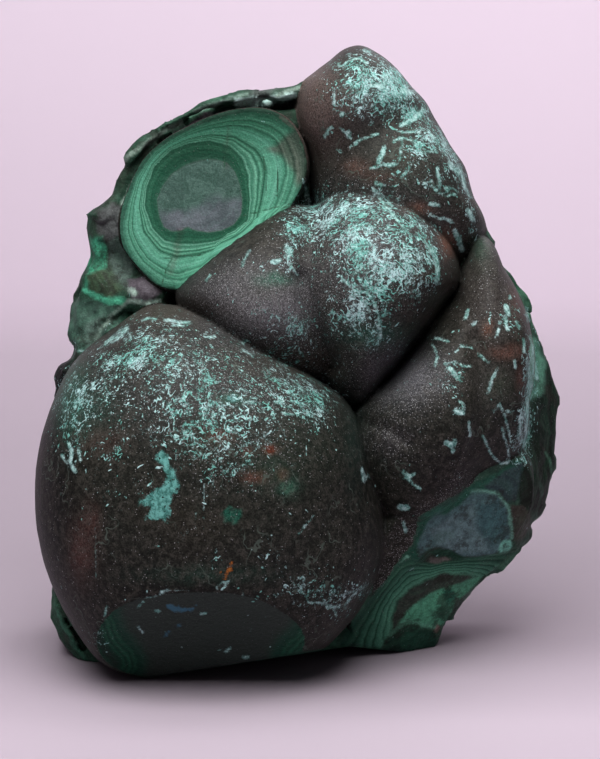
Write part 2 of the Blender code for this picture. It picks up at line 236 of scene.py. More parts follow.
def reach_round(outline, centre):
    """How far the outline lies from the centre at each of ANGLES, as a smooth closed curve."""
    across, up = (np.array(outline) - np.array(centre)).T
    order = np.argsort(np.arctan2(up, across))
    turn = np.arctan2(up, across)[order]
    reach = np.hypot(across, up)[order]
    turn = np.concatenate((turn[-2:] - math.tau, turn, turn[:2] + math.tau))
    reach = np.concatenate((reach[-2:], reach, reach[:2]))
    slope = (reach[2:] - reach[:-2]) / (turn[2:] - turn[:-2])
    turn = turn[1:-1]
    reach = reach[1:-1]
    before = np.clip(np.searchsorted(turn, ANGLES, side="right") - 1, 0, len(turn) - 2)
    gap = turn[before + 1] - turn[before]
    part = (ANGLES - turn[before]) / gap
    start = (1 + 2 * part) * (1 - part) ** 2 * reach[before]
    end = part**2 * (3 - 2 * part) * reach[before + 1]
    leave = part * (1 - part) ** 2 * gap * slope[before]
    arrive = part**2 * (part - 1) * gap * slope[before + 1]
    return start + end + leave + arrive


def smoothstep(x, start=0.0, end=1.0):
    t = np.clip((x - start) / (end - start), 0, 1)
    return t * t * (3 - 2 * t)


def smooth_min(a, b, width):
    return np.minimum(a, b) - np.maximum(width - np.abs(a - b), 0) ** 2 / (4 * width)


def smooth_max(a, b, width):
    return -smooth_min(-a, -b, width)


def dome_field(p, dome, scale=GIRTH, half=None):
    centre, depth, thick, fullness, outline = dome
    table = reach_round(outline, centre) * scale
    thick = half or thick
    across = p[:, 0] - centre[0]
    up = p[:, 1] - centre[1]
    out = np.hypot(across, up)
    reach = np.interp(np.arctan2(up, across), ANGLES, table)
    spread = out / reach
    for _ in range(3):
        evenness = 1 - smoothstep(spread)
        spread = out / (reach + (table.mean() - reach) * evenness)
    deep = p[:, 2] - depth
    thick = np.where(deep < 0, thick, thick * BACK_SHARE)
    deep = np.abs(deep) / thick
    q = np.maximum((spread**fullness + deep**fullness) ** (1 / fullness), 0.05)
    slope = np.hypot((spread / q) ** (fullness - 1) / reach, (deep / q) ** (fullness - 1) / thick)
    return (q - 1) / np.maximum(slope, 0.01)


def plane_field(p, cut):
    """Positive on the side that the cut takes off."""
    point, away = np.array(cut[0]), np.array(cut[1])
    return (p - point) @ (away / np.linalg.norm(away))


def lattice(seed):
    return np.random.default_rng(seed).random((32, 32, 32)) * 2 - 1


def noise(p, size, seed):
    """Smooth value noise from -1 to 1."""
    table = lattice(seed)
    q = p / size + 100.37
    i = np.floor(q).astype(np.int64)
    f = q - i
    f = f * f * (3 - 2 * f)
    i &= 31
    j = (i + 1) & 31
    total = 0
    for x, wx in ((i[:, 0], 1 - f[:, 0]), (j[:, 0], f[:, 0])):
        for y, wy in ((i[:, 1], 1 - f[:, 1]), (j[:, 1], f[:, 1])):
            for z, wz in ((i[:, 2], 1 - f[:, 2]), (j[:, 2], f[:, 2])):
                total = total + table[x, y, z] * wx * wy * wz
    return total


def fractal(p, size, octaves, seed):
    total = 0
    for octave in range(octaves):
        total = total + noise(p, size / 2**octave, seed + octave) / 2**octave
    return total


def facets(p, size, seed):
    """Flat chips: each cell of a jittered grid gives its own tilted plane; from about -1 to 1."""
    rng = np.random.default_rng(seed)
    jitter = rng.random((16, 16, 16, 3))
    tilt = rng.normal(size=(16, 16, 16, 3))
    q = p / size + 50.0
    base = np.floor(q).astype(np.int64)
    best = np.full(len(p), 9.0)
    value = np.zeros(len(p))
    for dx in (-1, 0, 1):
        for dy in (-1, 0, 1):
            for dz in (-1, 0, 1):
                cell = base + (dx, dy, dz)
                w = cell & 15
                away = q - cell - jitter[w[:, 0], w[:, 1], w[:, 2]]
                d = np.einsum("ij,ij->i", away, away)
                near = d < best
                best = np.where(near, d, best)
                lean = np.einsum("ij,ij->i", away, tilt[w[:, 0], w[:, 1], w[:, 2]])
                value = np.where(near, lean, value)
    return value


def line_distance(q, path):
    """Distance from each place to a path of straight parts."""
    best = np.full(len(q), 1e9)
    for (ax, ay), (bx, by) in zip(path[:-1], path[1:]):
        length = (bx - ax) ** 2 + (by - ay) ** 2 + 1e-9
        t = np.clip(((q[:, 0] - ax) * (bx - ax) + (q[:, 1] - ay) * (by - ay)) / length, 0, 1)
        best = np.minimum(best, np.hypot(q[:, 0] - ax - t * (bx - ax), q[:, 1] - ay - t * (by - ay)))
    return best


def area_distance(q, outline):
    """Signed distance to a closed outline, negative inside."""
    inside = np.zeros(len(q), bool)
    for (ax, ay), (bx, by) in zip(outline, outline[1:] + outline[:1]):
        crosses = (ay > q[:, 1]) != (by > q[:, 1])
        inside ^= crosses & (q[:, 0] < (bx - ax) * (q[:, 1] - ay) / (by - ay + 1e-9) + ax)
    distance = line_distance(q, outline + outline[:1])
    return np.where(inside, -distance, distance)


def outline_field(outline, step=0.5):
    """A table of the signed distance to the outline, and how to read it."""
    corners = np.array(outline)
    start = corners.min(0) - 8
    count = np.ceil((corners.max(0) + 8 - start) / step).astype(int)
    gx = start[0] + np.arange(count[0]) * step
    gy = start[1] + np.arange(count[1]) * step
    x, y = np.meshgrid(gx, gy, indexing="ij")
    best = np.full(x.shape, 1e9)
    inside = np.zeros(x.shape, bool)
    for (ax, ay), (bx, by) in zip(corners, np.roll(corners, -1, axis=0)):
        t = np.clip(((x - ax) * (bx - ax) + (y - ay) * (by - ay)) / ((bx - ax) ** 2 + (by - ay) ** 2), 0, 1)
        best = np.minimum(best, np.hypot(x - ax - t * (bx - ax), y - ay - t * (by - ay)))
        crosses = (ay > y) != (by > y)
        inside ^= crosses & (x < (bx - ax) * (y - ay) / (by - ay + 1e-12) + ax)
    return np.where(inside, -best, best), start, step


def read_table(table, x, y):
    values, start, step = table
    fx = np.clip((x - start[0]) / step, 0, values.shape[0] - 1.001)
    fy = np.clip((y - start[1]) / step, 0, values.shape[1] - 1.001)
    i = fx.astype(int)
    j = fy.astype(int)
    fx = fx - i
    fy = fy - j
    low_side = values[i, j] * (1 - fy) + values[i, j + 1] * fy
    high_side = values[i + 1, j] * (1 - fy) + values[i + 1, j + 1] * fy
    return low_side * (1 - fx) + high_side * fx


ROCK_TABLE = outline_field(ROCK_OUTLINE)


def upright(p):
    """From the leaning face to world axes, in units, before the stone is centred."""
    back = p[:, 1] * math.sin(LEAN) + p[:, 2] * math.cos(LEAN)
    rise = p[:, 1] * math.cos(LEAN) - p[:, 2] * math.sin(LEAN)
    return np.stack((p[:, 0], back, rise), axis=1)


def sight(p):
    """Where each point is seen from the sight point, in picture pixels."""
    nearness = SIGHT_DISTANCE / (SIGHT_DISTANCE + p[:, 2])
    x = PIXEL_MIDDLE + PIXELS_PER_UNIT * p[:, 0] * nearness
    y = PIXEL_FOOT - PIXELS_PER_UNIT * (SIGHT_HEIGHT + (p[:, 1] - SIGHT_HEIGHT) * nearness)
    return np.stack((x, y), axis=1)


def grain_of(p):
    return fractal(p, GRAIN_SIZE, 4, 11)


def corner_break(p, seen, grain):
    """The broken corner below the right-hand domes, with its deeper shelf."""
    drop = SHELF_DROP * smoothstep(-area_distance(seen, SHELF), *SHELF_SOFT)
    broken = np.maximum(*[plane_field(p, cut) for cut in ROCK_CUTS])
    return broken + drop + CORNER_RELIEF * grain


def rock_field(p):
    depths, scales = zip(*ROCK_SECTIONS)
    scale = np.interp(p[:, 2], depths, scales)
    x = ROCK_CENTRE[0] + (p[:, 0] - ROCK_CENTRE[0]) / scale
    y = ROCK_CENTRE[1] + (p[:, 1] - ROCK_CENTRE[1]) / scale
    seen = sight(p)
    edge = read_table(ROCK_TABLE, x, y) * scale
    front = depths[0] + FRONT_FALL * smoothstep(-edge, *FRONT_FALLS)
    rock = smooth_max(edge, front - p[:, 2], ROCK_ROUND)
    across_ridge = line_distance(seen, RIDGE) / PIXELS_PER_UNIT
    rock = smooth_min(rock, np.hypot(across_ridge, p[:, 2] - RIDGE_DEPTH) - RIDGE_RADIUS, ROCK_ROUND)
    rock = smooth_max(rock, -dome_field(p, EYE, SOCKET_SCALE, SOCKET_DEPTH), SOCKET_ROUND)
    stood = upright(p)
    for cut in BACK_BREAKS:
        rock = smooth_max(rock, plane_field(stood, cut), BACK_ROUND)
    for across, up, depth, radius in CHUNKS:
        rock = smooth_min(rock, np.linalg.norm(p - (across, up, depth), axis=1) - radius, CHUNK_BLEND)
    for path, half, bottom in GAPS:
        gap = np.maximum((line_distance(seen, path) - half) / PIXELS_PER_UNIT, p[:, 2] - bottom)
        rock = smooth_max(rock, -gap, RIM_ROUND)
    chips = facets(p, CHIP_SIZE, 5)
    grain = grain_of(p)
    rock = rock + CHIP_RELIEF * chips + GRAIN_RELIEF * grain
    rock = np.maximum(rock, corner_break(p, seen, grain))
    for cut in RIM_CUTS:
        rock = smooth_max(rock, plane_field(p, cut) + RIM_RELIEF * chips + RIM_RELIEF * grain, RIM_ROUND)
    return rock


def valley(seen, path, half, depth):
    return depth * np.exp(-((line_distance(seen, path) / half) ** 2))


def lobes(p, cut=True):
    """The field of each dome; with cut, the eye is sawn, and the great dome and the foot are broken."""
    ripple = sum(height * noise(p, size, seed) for height, size, seed in RIPPLES)
    great = smooth_min(dome_field(p, GREAT), dome_field(p, GREAT_SHOULDER), SHOULDER_BLEND) + ripple
    eye = dome_field(p, EYE)
    seen = sight(p)
    if cut:
        great = np.maximum(great, plane_field(p, GREAT_CUT))
        eye = np.maximum(eye, plane_field(p, EYE_CUT))
    right = smooth_min(dome_field(p, RIGHT), dome_field(p, FAR_RIGHT), RIGHT_BLEND)
    middle = smooth_min(dome_field(p, MIDDLE), dome_field(p, MIDDLE_LEFT), MIDDLE_BLEND)
    upper = smooth_min(dome_field(p, SADDLE), dome_field(p, TOP), UPPER_BLEND)
    foot = dome_field(p, FOOT) + ripple
    if cut:
        foot = np.maximum(foot, corner_break(p, seen, grain_of(p)))
    middle = middle + valley(seen, *MIDDLE_VALLEY)
    for shape in RIGHT_VALLEYS:
        right = right + valley(seen, *shape)
    return great, eye, right + ripple, middle + ripple, upper + ripple, foot


def crust_field(p, cut=True):
    crust, *others = lobes(p, cut)
    for other in others:
        crust = smooth_min(crust, other, CREASE)
    return crust


def crease_of(p):
    """How much nearer the nearest dome is than the next one: 0 along the creases."""
    first, second = np.sort(np.stack(lobes(p, cut=False)), axis=0)[:2]
    return second - first


def stone_field(p):
    stood = upright(p)
    stone = smooth_min(crust_field(p), rock_field(p), CREASE)
    hollow = np.minimum(*[plane_field(stood, cut) for cut in UNDER_BREAKS])
    return np.maximum(smooth_max(stone, hollow, UNDER_ROUND), -stood[:, 2])


# ---- the surface ---------------------------------------------------------------------------------

def surface(field, start, end, cell, reach=3.5, block=5):
    """The field's zero surface as points and quads, one point to each cell that it crosses."""
    shape = (np.ceil((np.array(end) - start) / (cell * block)).astype(int)) * block + 1
    axes = [start[k] + np.arange(shape[k]) * cell for k in range(3)]
    middles = [axes[k][:-1].reshape(-1, block).mean(axis=1) + cell / 2 for k in range(3)]
    grid = np.stack(np.meshgrid(*middles, indexing="ij"), axis=-1)
    parts = np.array_split(grid.reshape(-1, 3), 8)
    coarse = np.concatenate([field(part) for part in parts]).reshape(grid.shape[:3])
    values = np.ones(shape, np.float32)
    inside = np.repeat(np.repeat(np.repeat(coarse < 0, block, 0), block, 1), block, 2)
    values[:-1, :-1, :-1][inside] = -1
    near = np.abs(coarse) < reach
    near = np.repeat(np.repeat(np.repeat(near, block, 0), block, 1), block, 2)
    wanted = np.zeros(shape, bool)
    for dx in (0, 1):
        for dy in (0, 1):
            for dz in (0, 1):
                wanted[dx:shape[0] - 1 + dx, dy:shape[1] - 1 + dy, dz:shape[2] - 1 + dz] |= near
    index = np.argwhere(wanted)
    for part in np.array_split(index, max(1, len(index) // POINTS_AT_ONCE)):
        points = np.array(start) + part * cell
        values[part[:, 0], part[:, 1], part[:, 2]] = field(points)
    # One point to each crossed cell, at the mean of its edge crossings
    sign = values < 0
    total = np.zeros(tuple(shape - 1) + (3,))
    count = np.zeros(shape - 1)
    quads_of = []
    for k in range(3):
        lower = [slice(None)] * 3
        upper = [slice(None)] * 3
        lower[k] = slice(None, -1)
        upper[k] = slice(1, None)
        cross = np.argwhere(sign[tuple(lower)] != sign[tuple(upper)])
        step = np.zeros(3, int)
        step[k] = 1
        v0 = values[tuple(cross.T)]
        v1 = values[tuple((cross + step).T)]
        t = v0 / (v0 - v1)
        at = cross.astype(float)
        at[:, k] += t
        others = [(k + 1) % 3, (k + 2) % 3]
        cells = []
        for da, db in ((-1, -1), (0, -1), (0, 0), (-1, 0)):
            cell_of = cross.copy()
            cell_of[:, others[0]] += da
            cell_of[:, others[1]] += db
            cells.append(cell_of)
            np.add.at(total, tuple(cell_of.T), at)
            np.add.at(count, tuple(cell_of.T), 1)
        quads_of.append((np.stack(cells, axis=1), v0 > 0))
    used = np.argwhere(count > 0)
    number = np.full(shape - 1, -1)
    number[tuple(used.T)] = np.arange(len(used))
    points = np.array(start) + total[tuple(used.T)] / count[tuple(used.T)][:, None] * cell
    quads = []
    for cells, flip in quads_of:
        ring = number[cells[..., 0], cells[..., 1], cells[..., 2]]
        ring[flip] = ring[flip][:, ::-1]
        quads.append(ring)
    return points, np.concatenate(quads)


# The corners of the grid, which has room for the whole stone
START = (-47.0, -9.0, -31.0)
END = (47.0, 104.0, 36.0)
points, quads = surface(stone_field, np.array(START), np.array(END), CELL)


def add_object(name, data):
    made = bpy.data.objects.new(name, data)
    bpy.context.scene.collection.objects.link(made)
    return made


def mesh_object(name, vertices, faces):
    mesh = bpy.data.meshes.new(name)
    mesh.vertices.add(len(vertices))
    mesh.vertices.foreach_set("co", np.ascontiguousarray(vertices, np.float32).ravel())
    mesh.loops.add(faces.size)
    mesh.loops.foreach_set("vertex_index", np.ascontiguousarray(faces, np.int32).ravel())
    mesh.polygons.add(len(faces))
    mesh.polygons.foreach_set("loop_start", np.arange(len(faces), dtype=np.int32) * faces.shape[1])
    mesh.update(calc_edges=True)
    mesh.validate()
    return add_object(name, mesh)


def smooth(obj):
    obj.data.polygons.foreach_set("use_smooth", np.ones(len(obj.data.polygons), bool))


def coordinates(mesh):
    found = np.empty(len(mesh.vertices) * 3, np.float32)
    mesh.vertices.foreach_get("co", found)
    return found.reshape(-1, 3).astype(float)


def thin_the_back(obj, weight, target):
    """Merges small triangles where the weight is 1, until the mesh has the target number."""
    group = obj.vertex_groups.new(name="back")
    for level in np.unique(weight):
        group.add(np.flatnonzero(weight == level).tolist(), float(level), "REPLACE")
    triangles = sum(len(p.vertices) - 2 for p in obj.data.polygons)
    modifier = obj.modifiers.new("thin", "DECIMATE")
    modifier.ratio = min(1.0, target / triangles)
    modifier.vertex_group = group.name
    modifier.use_collapse_triangulate = True
    graph = bpy.context.evaluated_depsgraph_get()
    thinned = bpy.data.meshes.new_from_object(obj.evaluated_get(graph))
    obj.modifiers.clear()
    obj.vertex_groups.clear()
    obj.data = thinned


def drop_pockets(mesh):
    """Deletes the closed pockets inside the stone: only the largest surface stays."""
    work = bmesh.new()
    work.from_mesh(mesh)
    left = set(work.verts)
    surfaces = []
    while left:
        front = [left.pop()]
        joined = []
        while front:
            vertex = front.pop()
            joined.append(vertex)
            for edge in vertex.link_edges:
                other = edge.other_vert(vertex)
                if other in left:
                    left.remove(other)
                    front.append(other)
        surfaces.append(joined)
    surfaces.sort(key=len)
    pockets = [vertex for joined in surfaces[:-1] for vertex in joined]
    bmesh.ops.delete(work, geom=pockets, context="VERTS")
    work.to_mesh(mesh)
    work.free()


def facing_of(obj, at):
    """How squarely each point faces the sight point: 1 towards it, -1 away."""
    normals = np.empty(len(at) * 3, np.float32)
    obj.data.vertices.foreach_get("normal", normals)
    toward = at - np.array((0.0, SIGHT_HEIGHT, -SIGHT_DISTANCE))
    return -np.einsum("ij,ij->i", toward, normals.reshape(-1, 3)) / np.linalg.norm(toward, axis=1)


stone = mesh_object("malachite_specimen_look", points, quads)
back = np.where(facing_of(stone, points) < FACING_FINE, 1.0, 0.0)
thin_the_back(stone, back, MOST_TRIANGLES)
drop_pockets(stone.data)
points = coordinates(stone.data)
facing = facing_of(stone, points)

# The stone is set on the CAD box: same middle, same floor, and as large as the box lets it be.
stood = upright(points)
size = stood.max(0) - stood.min(0)
middle = (stood.max(0) + stood.min(0)) / 2
box = np.array(high) - np.array(low)
UNIT = float((box / size).min())
to_box = ((low.x + high.x) / 2 - middle[0] * UNIT, (low.y + high.y) / 2 - middle[1] * UNIT, low.z)
shift = Vector(to_box)
placed = stood * UNIT + np.array(shift)
stone.data.vertices.foreach_set("co", np.ascontiguousarray(placed, np.float32).ravel())
smooth(stone)
# The face frame is left-handed, so standing the stone up turned its faces inward.
stone.data.flip_normals()
stone.data.update()


# ---- what lies where, as seen from the sight point, in pixels ------------------------------------
EYE_EDGE = [
    (122, 223), (129, 198), (136, 176), (154, 151), (176, 136), (197, 125), (228, 114), (251, 110),
    (274, 113), (290, 122), (300, 134), (309, 156), (310, 176), (304, 194), (295, 209), (280, 226),
    (268, 241), (243, 255), (220, 271), (197, 284), (182, 292), (163, 289), (151, 280), (136, 267),
    (127, 251), (122, 235),
]
EYE_SKIN = [
    (277, 116), (296, 132), (304, 156), (305, 176), (299, 194), (290, 210), (297, 209), (312, 190),
    (318, 160), (306, 130), (288, 112),
]
EYE_CORE = [
    (158, 200), (164, 186), (174, 174), (186, 166), (200, 162), (215, 161), (226, 164), (234, 172),
    (239, 184), (242, 200), (241, 214), (234, 224), (222, 230), (208, 232), (196, 230), (187, 226),
    (181, 230), (172, 231), (164, 227), (160, 216),
]
EYE_INNER = [
    (144, 206), (146, 186), (154, 166), (169, 150), (189, 142), (210, 140), (230, 145), (243, 158),
    (248, 176), (250, 200), (248, 221), (236, 233), (215, 241), (197, 244), (180, 244), (165, 241),
    (152, 228),
]
EYE_FAULT = [(228, 231), (292, 203), (320, 240), (260, 300), (180, 320), (205, 262)]
CHIP_LEFT = [(88, 600), (92, 622), (101, 645), (116, 664)]
CHIP_RIGHT = [(338, 612), (326, 630), (312, 648), (300, 660)]
CHIP_EDGE = [
    (84, 605), (105, 598), (129, 598), (149, 595), (169, 589), (184, 589), (213, 587), (221, 585), (250, 586),
    (272, 593), (292, 600), (314, 613), (333, 619), (318, 652), (290, 690), (130, 700), (96, 660),
]
BAND_INNER = [(391, 636), (392, 616), (397, 602), (408, 590), (425, 580), (445, 573), (465, 573), (482, 578)]
BAND_OUTER = [(340, 643), (362, 612), (380, 588), (396, 566), (410, 558), (430, 563), (463, 558), (508, 552)]
BANDED = [
    (338, 652), (346, 628), (362, 610), (372, 598), (380, 586), (388, 576), (396, 564), (406, 557),
    (418, 560), (430, 563), (445, 563), (463, 559), (480, 557), (500, 554), (512, 552), (498, 566),
    (480, 578), (465, 574), (445, 573), (425, 580), (408, 590), (397, 602), (392, 615), (391, 632),
    (380, 652), (362, 660),
]
CORNER = [
    (349, 627), (361, 611), (369, 598), (377, 588), (388, 577), (396, 563), (406, 552), (413, 543),
    (416, 530), (420, 515), (432, 508), (446, 500), (460, 491), (470, 484), (483, 477), (496, 468),
    (510, 461), (520, 456), (523, 442), (526, 419), (525, 400), (530, 371), (530, 350), (534, 328),
    (620, 300), (620, 700), (320, 700), (320, 652),
]
FOOT_SKIN = [
    (372, 596), (388, 578), (396, 563), (406, 552), (413, 543), (416, 530), (420, 515), (432, 508),
    (446, 500), (460, 491), (476, 482), (474, 474), (455, 482), (440, 488), (425, 496), (405, 508),
    (385, 516), (376, 540),
]
SKIN_EDGE = [
    (377, 588), (388, 577), (396, 563), (406, 552), (413, 543), (416, 530), (420, 515), (432, 508),
    (446, 500), (460, 491), (472, 483),
]

# Broken faces: colour, softness of the edge, outline; some are painted shade or painted light, as noted at
# each
FACES = (
    ((66, 68, 68), 4, [(96, 212), (112, 202), (123, 208), (121, 236), (108, 242), (97, 233)]),
    ((58, 132, 104), 4, [(88, 241), (101, 237), (108, 252), (105, 268), (94, 278), (84, 290), (88, 262)]),
    ((52, 66, 50), 5, [(86, 274), (104, 268), (118, 272), (124, 290), (108, 299), (90, 293)]),
    ((72, 86, 80), 6, [(108, 240), (122, 238), (134, 262), (128, 290), (117, 280), (110, 262)]),
    ((60, 84, 74), 8, [(70, 300), (126, 302), (118, 330), (100, 345), (84, 362), (68, 364)]),
    ((78, 98, 90), 5, [(84, 325), (102, 315), (104, 335), (86, 352)]),
    # Painted light: the rim's top facet, which the rim's own shape leaves in shade, is painted near white
    ((196, 226, 220), 3, [(236, 98), (262, 98), (292, 90), (296, 97), (268, 106), (246, 108), (234, 106)]),
    ((80, 74, 80), 3, [(128, 280), (142, 276), (158, 280), (163, 292), (150, 301), (132, 300)]),
    # Painted shadow: dark purple in the gap between the rim and the sawn dome
    (
        (42, 34, 40), 3,
        [
            (150, 152), (162, 140), (178, 130), (204, 113), (246, 106), (252, 112), (206, 122), (176, 138),
            (156, 158),
        ],
    ),
    # Painted shade on the right-hand rim, which faces away from the light
    (
        (22, 32, 26), 10,
        [(534, 345), (560, 350), (568, 400), (560, 450), (546, 520), (524, 505), (522, 455), (530, 400)],
    ),
    ((24, 24, 24), 3, [(48, 402), (52, 368), (64, 358), (80, 352), (84, 366), (66, 404)]),
    # Painted shade low on the right-hand rim
    ((20, 26, 20), 6, [(530, 440), (552, 445), (546, 515), (520, 508), (516, 480)]),
    ((84, 132, 112), 6, [(529, 335), (537, 338), (545, 362), (544, 392), (530, 400), (527, 370)]),
    (
        (30, 70, 56), 4,
        [
            (395, 566), (414, 545), (421, 514), (450, 499), (474, 484), (500, 470), (520, 458), (524, 470),
            (490, 490), (450, 512), (430, 530), (424, 560),
        ],
    ),
    (
        (68, 92, 94), 3,
        [
            (432, 517), (445, 514), (460, 506), (472, 494), (485, 491), (498, 496), (506, 505), (510, 520),
            (511, 537), (505, 546), (495, 552), (480, 556), (463, 557), (450, 550), (438, 547), (428, 550),
            (420, 558), (417, 548), (420, 536), (426, 526),
        ],
    ),
    (
        (84, 106, 108), 5,
        [(430, 530), (448, 518), (462, 512), (474, 500), (476, 530), (490, 550), (462, 554), (436, 545)],
    ),
    ((56, 84, 86), 5, [(478, 505), (500, 500), (508, 520), (508, 536), (492, 545), (480, 530)]),
    (
        (44, 60, 62), 3,
        [(482, 483), (500, 473), (523, 462), (521, 480), (516, 499), (506, 501), (497, 492), (485, 488)],
    ),
    (
        (52, 50, 44), 3,
        [(509, 503), (522, 505), (531, 514), (531, 528), (524, 538), (515, 541), (511, 530), (510, 516)],
    ),
    # Painted shade in the narrow undercut below the upper face of the broken corner
    ((28, 58, 44), 2, [(428, 553), (440, 549), (452, 551), (464, 558), (458, 561), (440, 557)]),
    ((88, 84, 80), 2, [(430, 558), (446, 558), (452, 561), (440, 564), (428, 563)]),
    ((104, 164, 146), 2, [(502, 541), (511, 540), (513, 545), (506, 552), (501, 555), (498, 549)]),
    ((74, 140, 112), 3, [(464, 560), (480, 558), (502, 554), (496, 562), (478, 566)]),
    (
        (74, 136, 108), 3,
        [
            (398, 624), (404, 612), (415, 602), (428, 594), (442, 588), (458, 592), (452, 612), (443, 626),
            (430, 628), (414, 624),
        ],
    ),
    ((34, 96, 76), 3, [(444, 590), (458, 588), (456, 600), (446, 606)]),
    ((52, 108, 84), 3, [(436, 606), (447, 606), (444, 620), (438, 618)]),
    ((70, 126, 100), 3, [(450, 586), (470, 578), (484, 574), (470, 590), (460, 600)]),
    (
        (46, 52, 46), 2,
        [
            (392, 634), (393, 615), (399, 602), (410, 591), (425, 582), (445, 575), (462, 575), (472, 577),
            (458, 583), (445, 587), (430, 592), (420, 599), (412, 607), (404, 615), (398, 624),
        ],
    ),
    (
        (30, 66, 52), 3,
        [
            (386, 642), (396, 632), (404, 625), (420, 628), (434, 631), (438, 642), (428, 654), (404, 656),
            (384, 652),
        ],
    ),
    ((22, 42, 34), 3, [(384, 642), (394, 634), (402, 632), (400, 652), (388, 652)]),
    ((128, 108, 102), 2, [(431, 627), (438, 624), (441, 629), (436, 633)]),
)
# Thin lighter or darker lines on the broken faces: colour, half width, path
FACE_LINES = (
    ((140, 158, 148), 1.6, [(141, 172), (131, 188), (123, 205)]),
    ((112, 128, 118), 2.2, [(124, 160), (142, 147), (160, 134), (182, 122)]),
    ((98, 118, 108), 2.0, [(196, 111), (214, 105), (232, 98), (246, 94)]),
    ((120, 138, 128), 1.8, [(276, 96), (292, 89), (300, 86)]),
    ((70, 150, 120), 2.6, [(84, 291), (95, 296), (108, 301), (124, 300)]),
    ((120, 140, 130), 1.4, [(95, 338), (104, 325), (116, 312), (126, 302)]),
    ((150, 170, 160), 2.4, [(132, 290), (134, 294)]),
    ((140, 160, 150), 1.5, [(128, 301), (145, 302), (160, 300)]),
    ((116, 168, 146), 1.5, [(399, 566), (408, 556)]),
    ((96, 142, 126), 1.4, [(470, 492), (485, 490), (498, 495), (507, 505), (511, 520), (512, 538)]),
    ((36, 78, 64), 1.6, [(432, 514), (450, 504), (470, 491), (482, 483), (500, 473)]),
    ((90, 150, 124), 1.6, [(390, 636), (398, 627), (406, 620), (420, 623), (434, 627)]),
    ((60, 92, 76), 1.3, [(546, 452), (550, 462), (551, 472)]), ((50, 74, 62), 1.0, [(541, 482), (541, 496)]),
    ((54, 96, 78), 1.5, [(56, 604), (62, 622), (72, 642), (86, 660)]),
    ((80, 118, 98), 2.0, [(78, 664), (96, 661)]),
)
# Stains in the skin, with painted sheen where domes face the light and painted shade on their lower and side
# flanks: colour, middle, reach across and up, strength
STAINS_SHEEN_AND_SHADE = (
    ((124, 122, 128), (262, 302), (46, 26), 0.98), ((98, 97, 103), (402, 374), (32, 22), 0.98),
    ((60, 58, 60), (330, 300), (24, 30), 0.7), ((138, 122, 116), (314, 108), (16, 28), 0.98),
    ((66, 60, 58), (440, 235), (16, 26), 0.6), ((66, 64, 66), (390, 440), (18, 14), 0.8),
    ((72, 72, 72), (370, 96), (40, 26), 0.8), ((56, 56, 56), (225, 375), (100, 40), 0.8),
    ((74, 72, 74), (370, 240), (50, 44), 0.85), ((12, 12, 11), (52, 500), (26, 90), 0.97),
    ((22, 22, 20), (170, 590), (120, 34), 0.9), ((22, 22, 21), (362, 520), (18, 60), 0.8),
    ((70, 65, 64), (490, 300), (24, 40), 0.7), ((66, 66, 64), (492, 385), (14, 24), 0.6),
    ((62, 62, 60), (418, 160), (30, 30), 0.7), ((24, 23, 23), (440, 470), (40, 24), 0.8),
    ((88, 73, 70), (318, 108), (30, 34), 0.75), ((66, 58, 52), (170, 310), (70, 12), 0.6),
    ((66, 58, 50), (290, 362), (50, 16), 0.4), ((112, 76, 62), (219, 437), (9, 4), 0.8),
    ((110, 62, 52), (256, 476), (10, 4), 0.8), ((120, 70, 54), (271, 449), (5, 4), 0.95),
    ((96, 62, 50), (248, 452), (5, 4), 0.7), ((124, 84, 66), (283, 475), (4, 4), 0.7),
    ((128, 86, 70), (447, 243), (6, 9), 0.85), ((116, 84, 72), (418, 208), (10, 5), 0.8),
    ((104, 78, 70), (356, 168), (11, 7), 0.6), ((100, 76, 68), (380, 176), (12, 5), 0.5),
    ((108, 72, 62), (508, 352), (16, 6), 0.6), ((100, 68, 58), (521, 378), (4, 9), 0.6),
    ((110, 74, 58), (487, 328), (4, 6), 0.6), ((104, 72, 62), (520, 300), (8, 14), 0.5),
    ((86, 56, 52), (82, 552), (10, 24), 0.6), ((80, 54, 50), (92, 520), (8, 14), 0.5),
    ((82, 60, 56), (100, 440), (20, 12), 0.4), ((58, 58, 48), (205, 440), (24, 20), 0.4),
    ((62, 64, 52), (262, 290), (26, 12), 0.5), ((60, 62, 50), (400, 158), (24, 18), 0.5),
    ((58, 60, 48), (330, 310), (12, 16), 0.4), ((40, 84, 68), (72, 392), (12, 34), 0.6),
    ((46, 84, 74), (82, 408), (24, 22), 0.4), ((40, 66, 54), (270, 470), (18, 14), 0.5),
    ((44, 86, 72), (287, 487), (9, 8), 0.6), ((44, 92, 78), (232, 400), (10, 5), 0.9),
    ((36, 60, 54), (355, 435), (8, 40), 0.5), ((42, 56, 46), (300, 440), (40, 40), 0.25),
    ((34, 62, 52), (210, 575), (56, 7), 0.5), ((60, 72, 58), (500, 385), (10, 12), 0.5),
    ((44, 96, 80), (375, 335), (26, 10), 0.5), ((52, 118, 96), (275, 279), (14, 5), 0.6),
    ((56, 96, 80), (480, 245), (8, 16), 0.3), ((40, 66, 56), (440, 300), (10, 8), 0.3),
)
# Patches with a sharp edge in the skin: colour, outline
SKIN_PATCHES = (
    (
        (30, 80, 66),
        [(222, 512), (228, 506), (236, 510), (243, 508), (240, 518), (236, 526), (229, 521), (224, 524)],
    ),
    ((52, 84, 70), [(280, 484), (292, 482), (297, 490), (288, 497), (281, 492)]),
    ((96, 150, 146), [(226, 398), (234, 396), (239, 400), (233, 403)]),
    ((70, 40, 30), [(213, 433), (222, 430), (226, 437), (220, 442), (213, 440)]),
    ((92, 48, 34), [(266, 446), (274, 444), (277, 451), (269, 454)]),
)
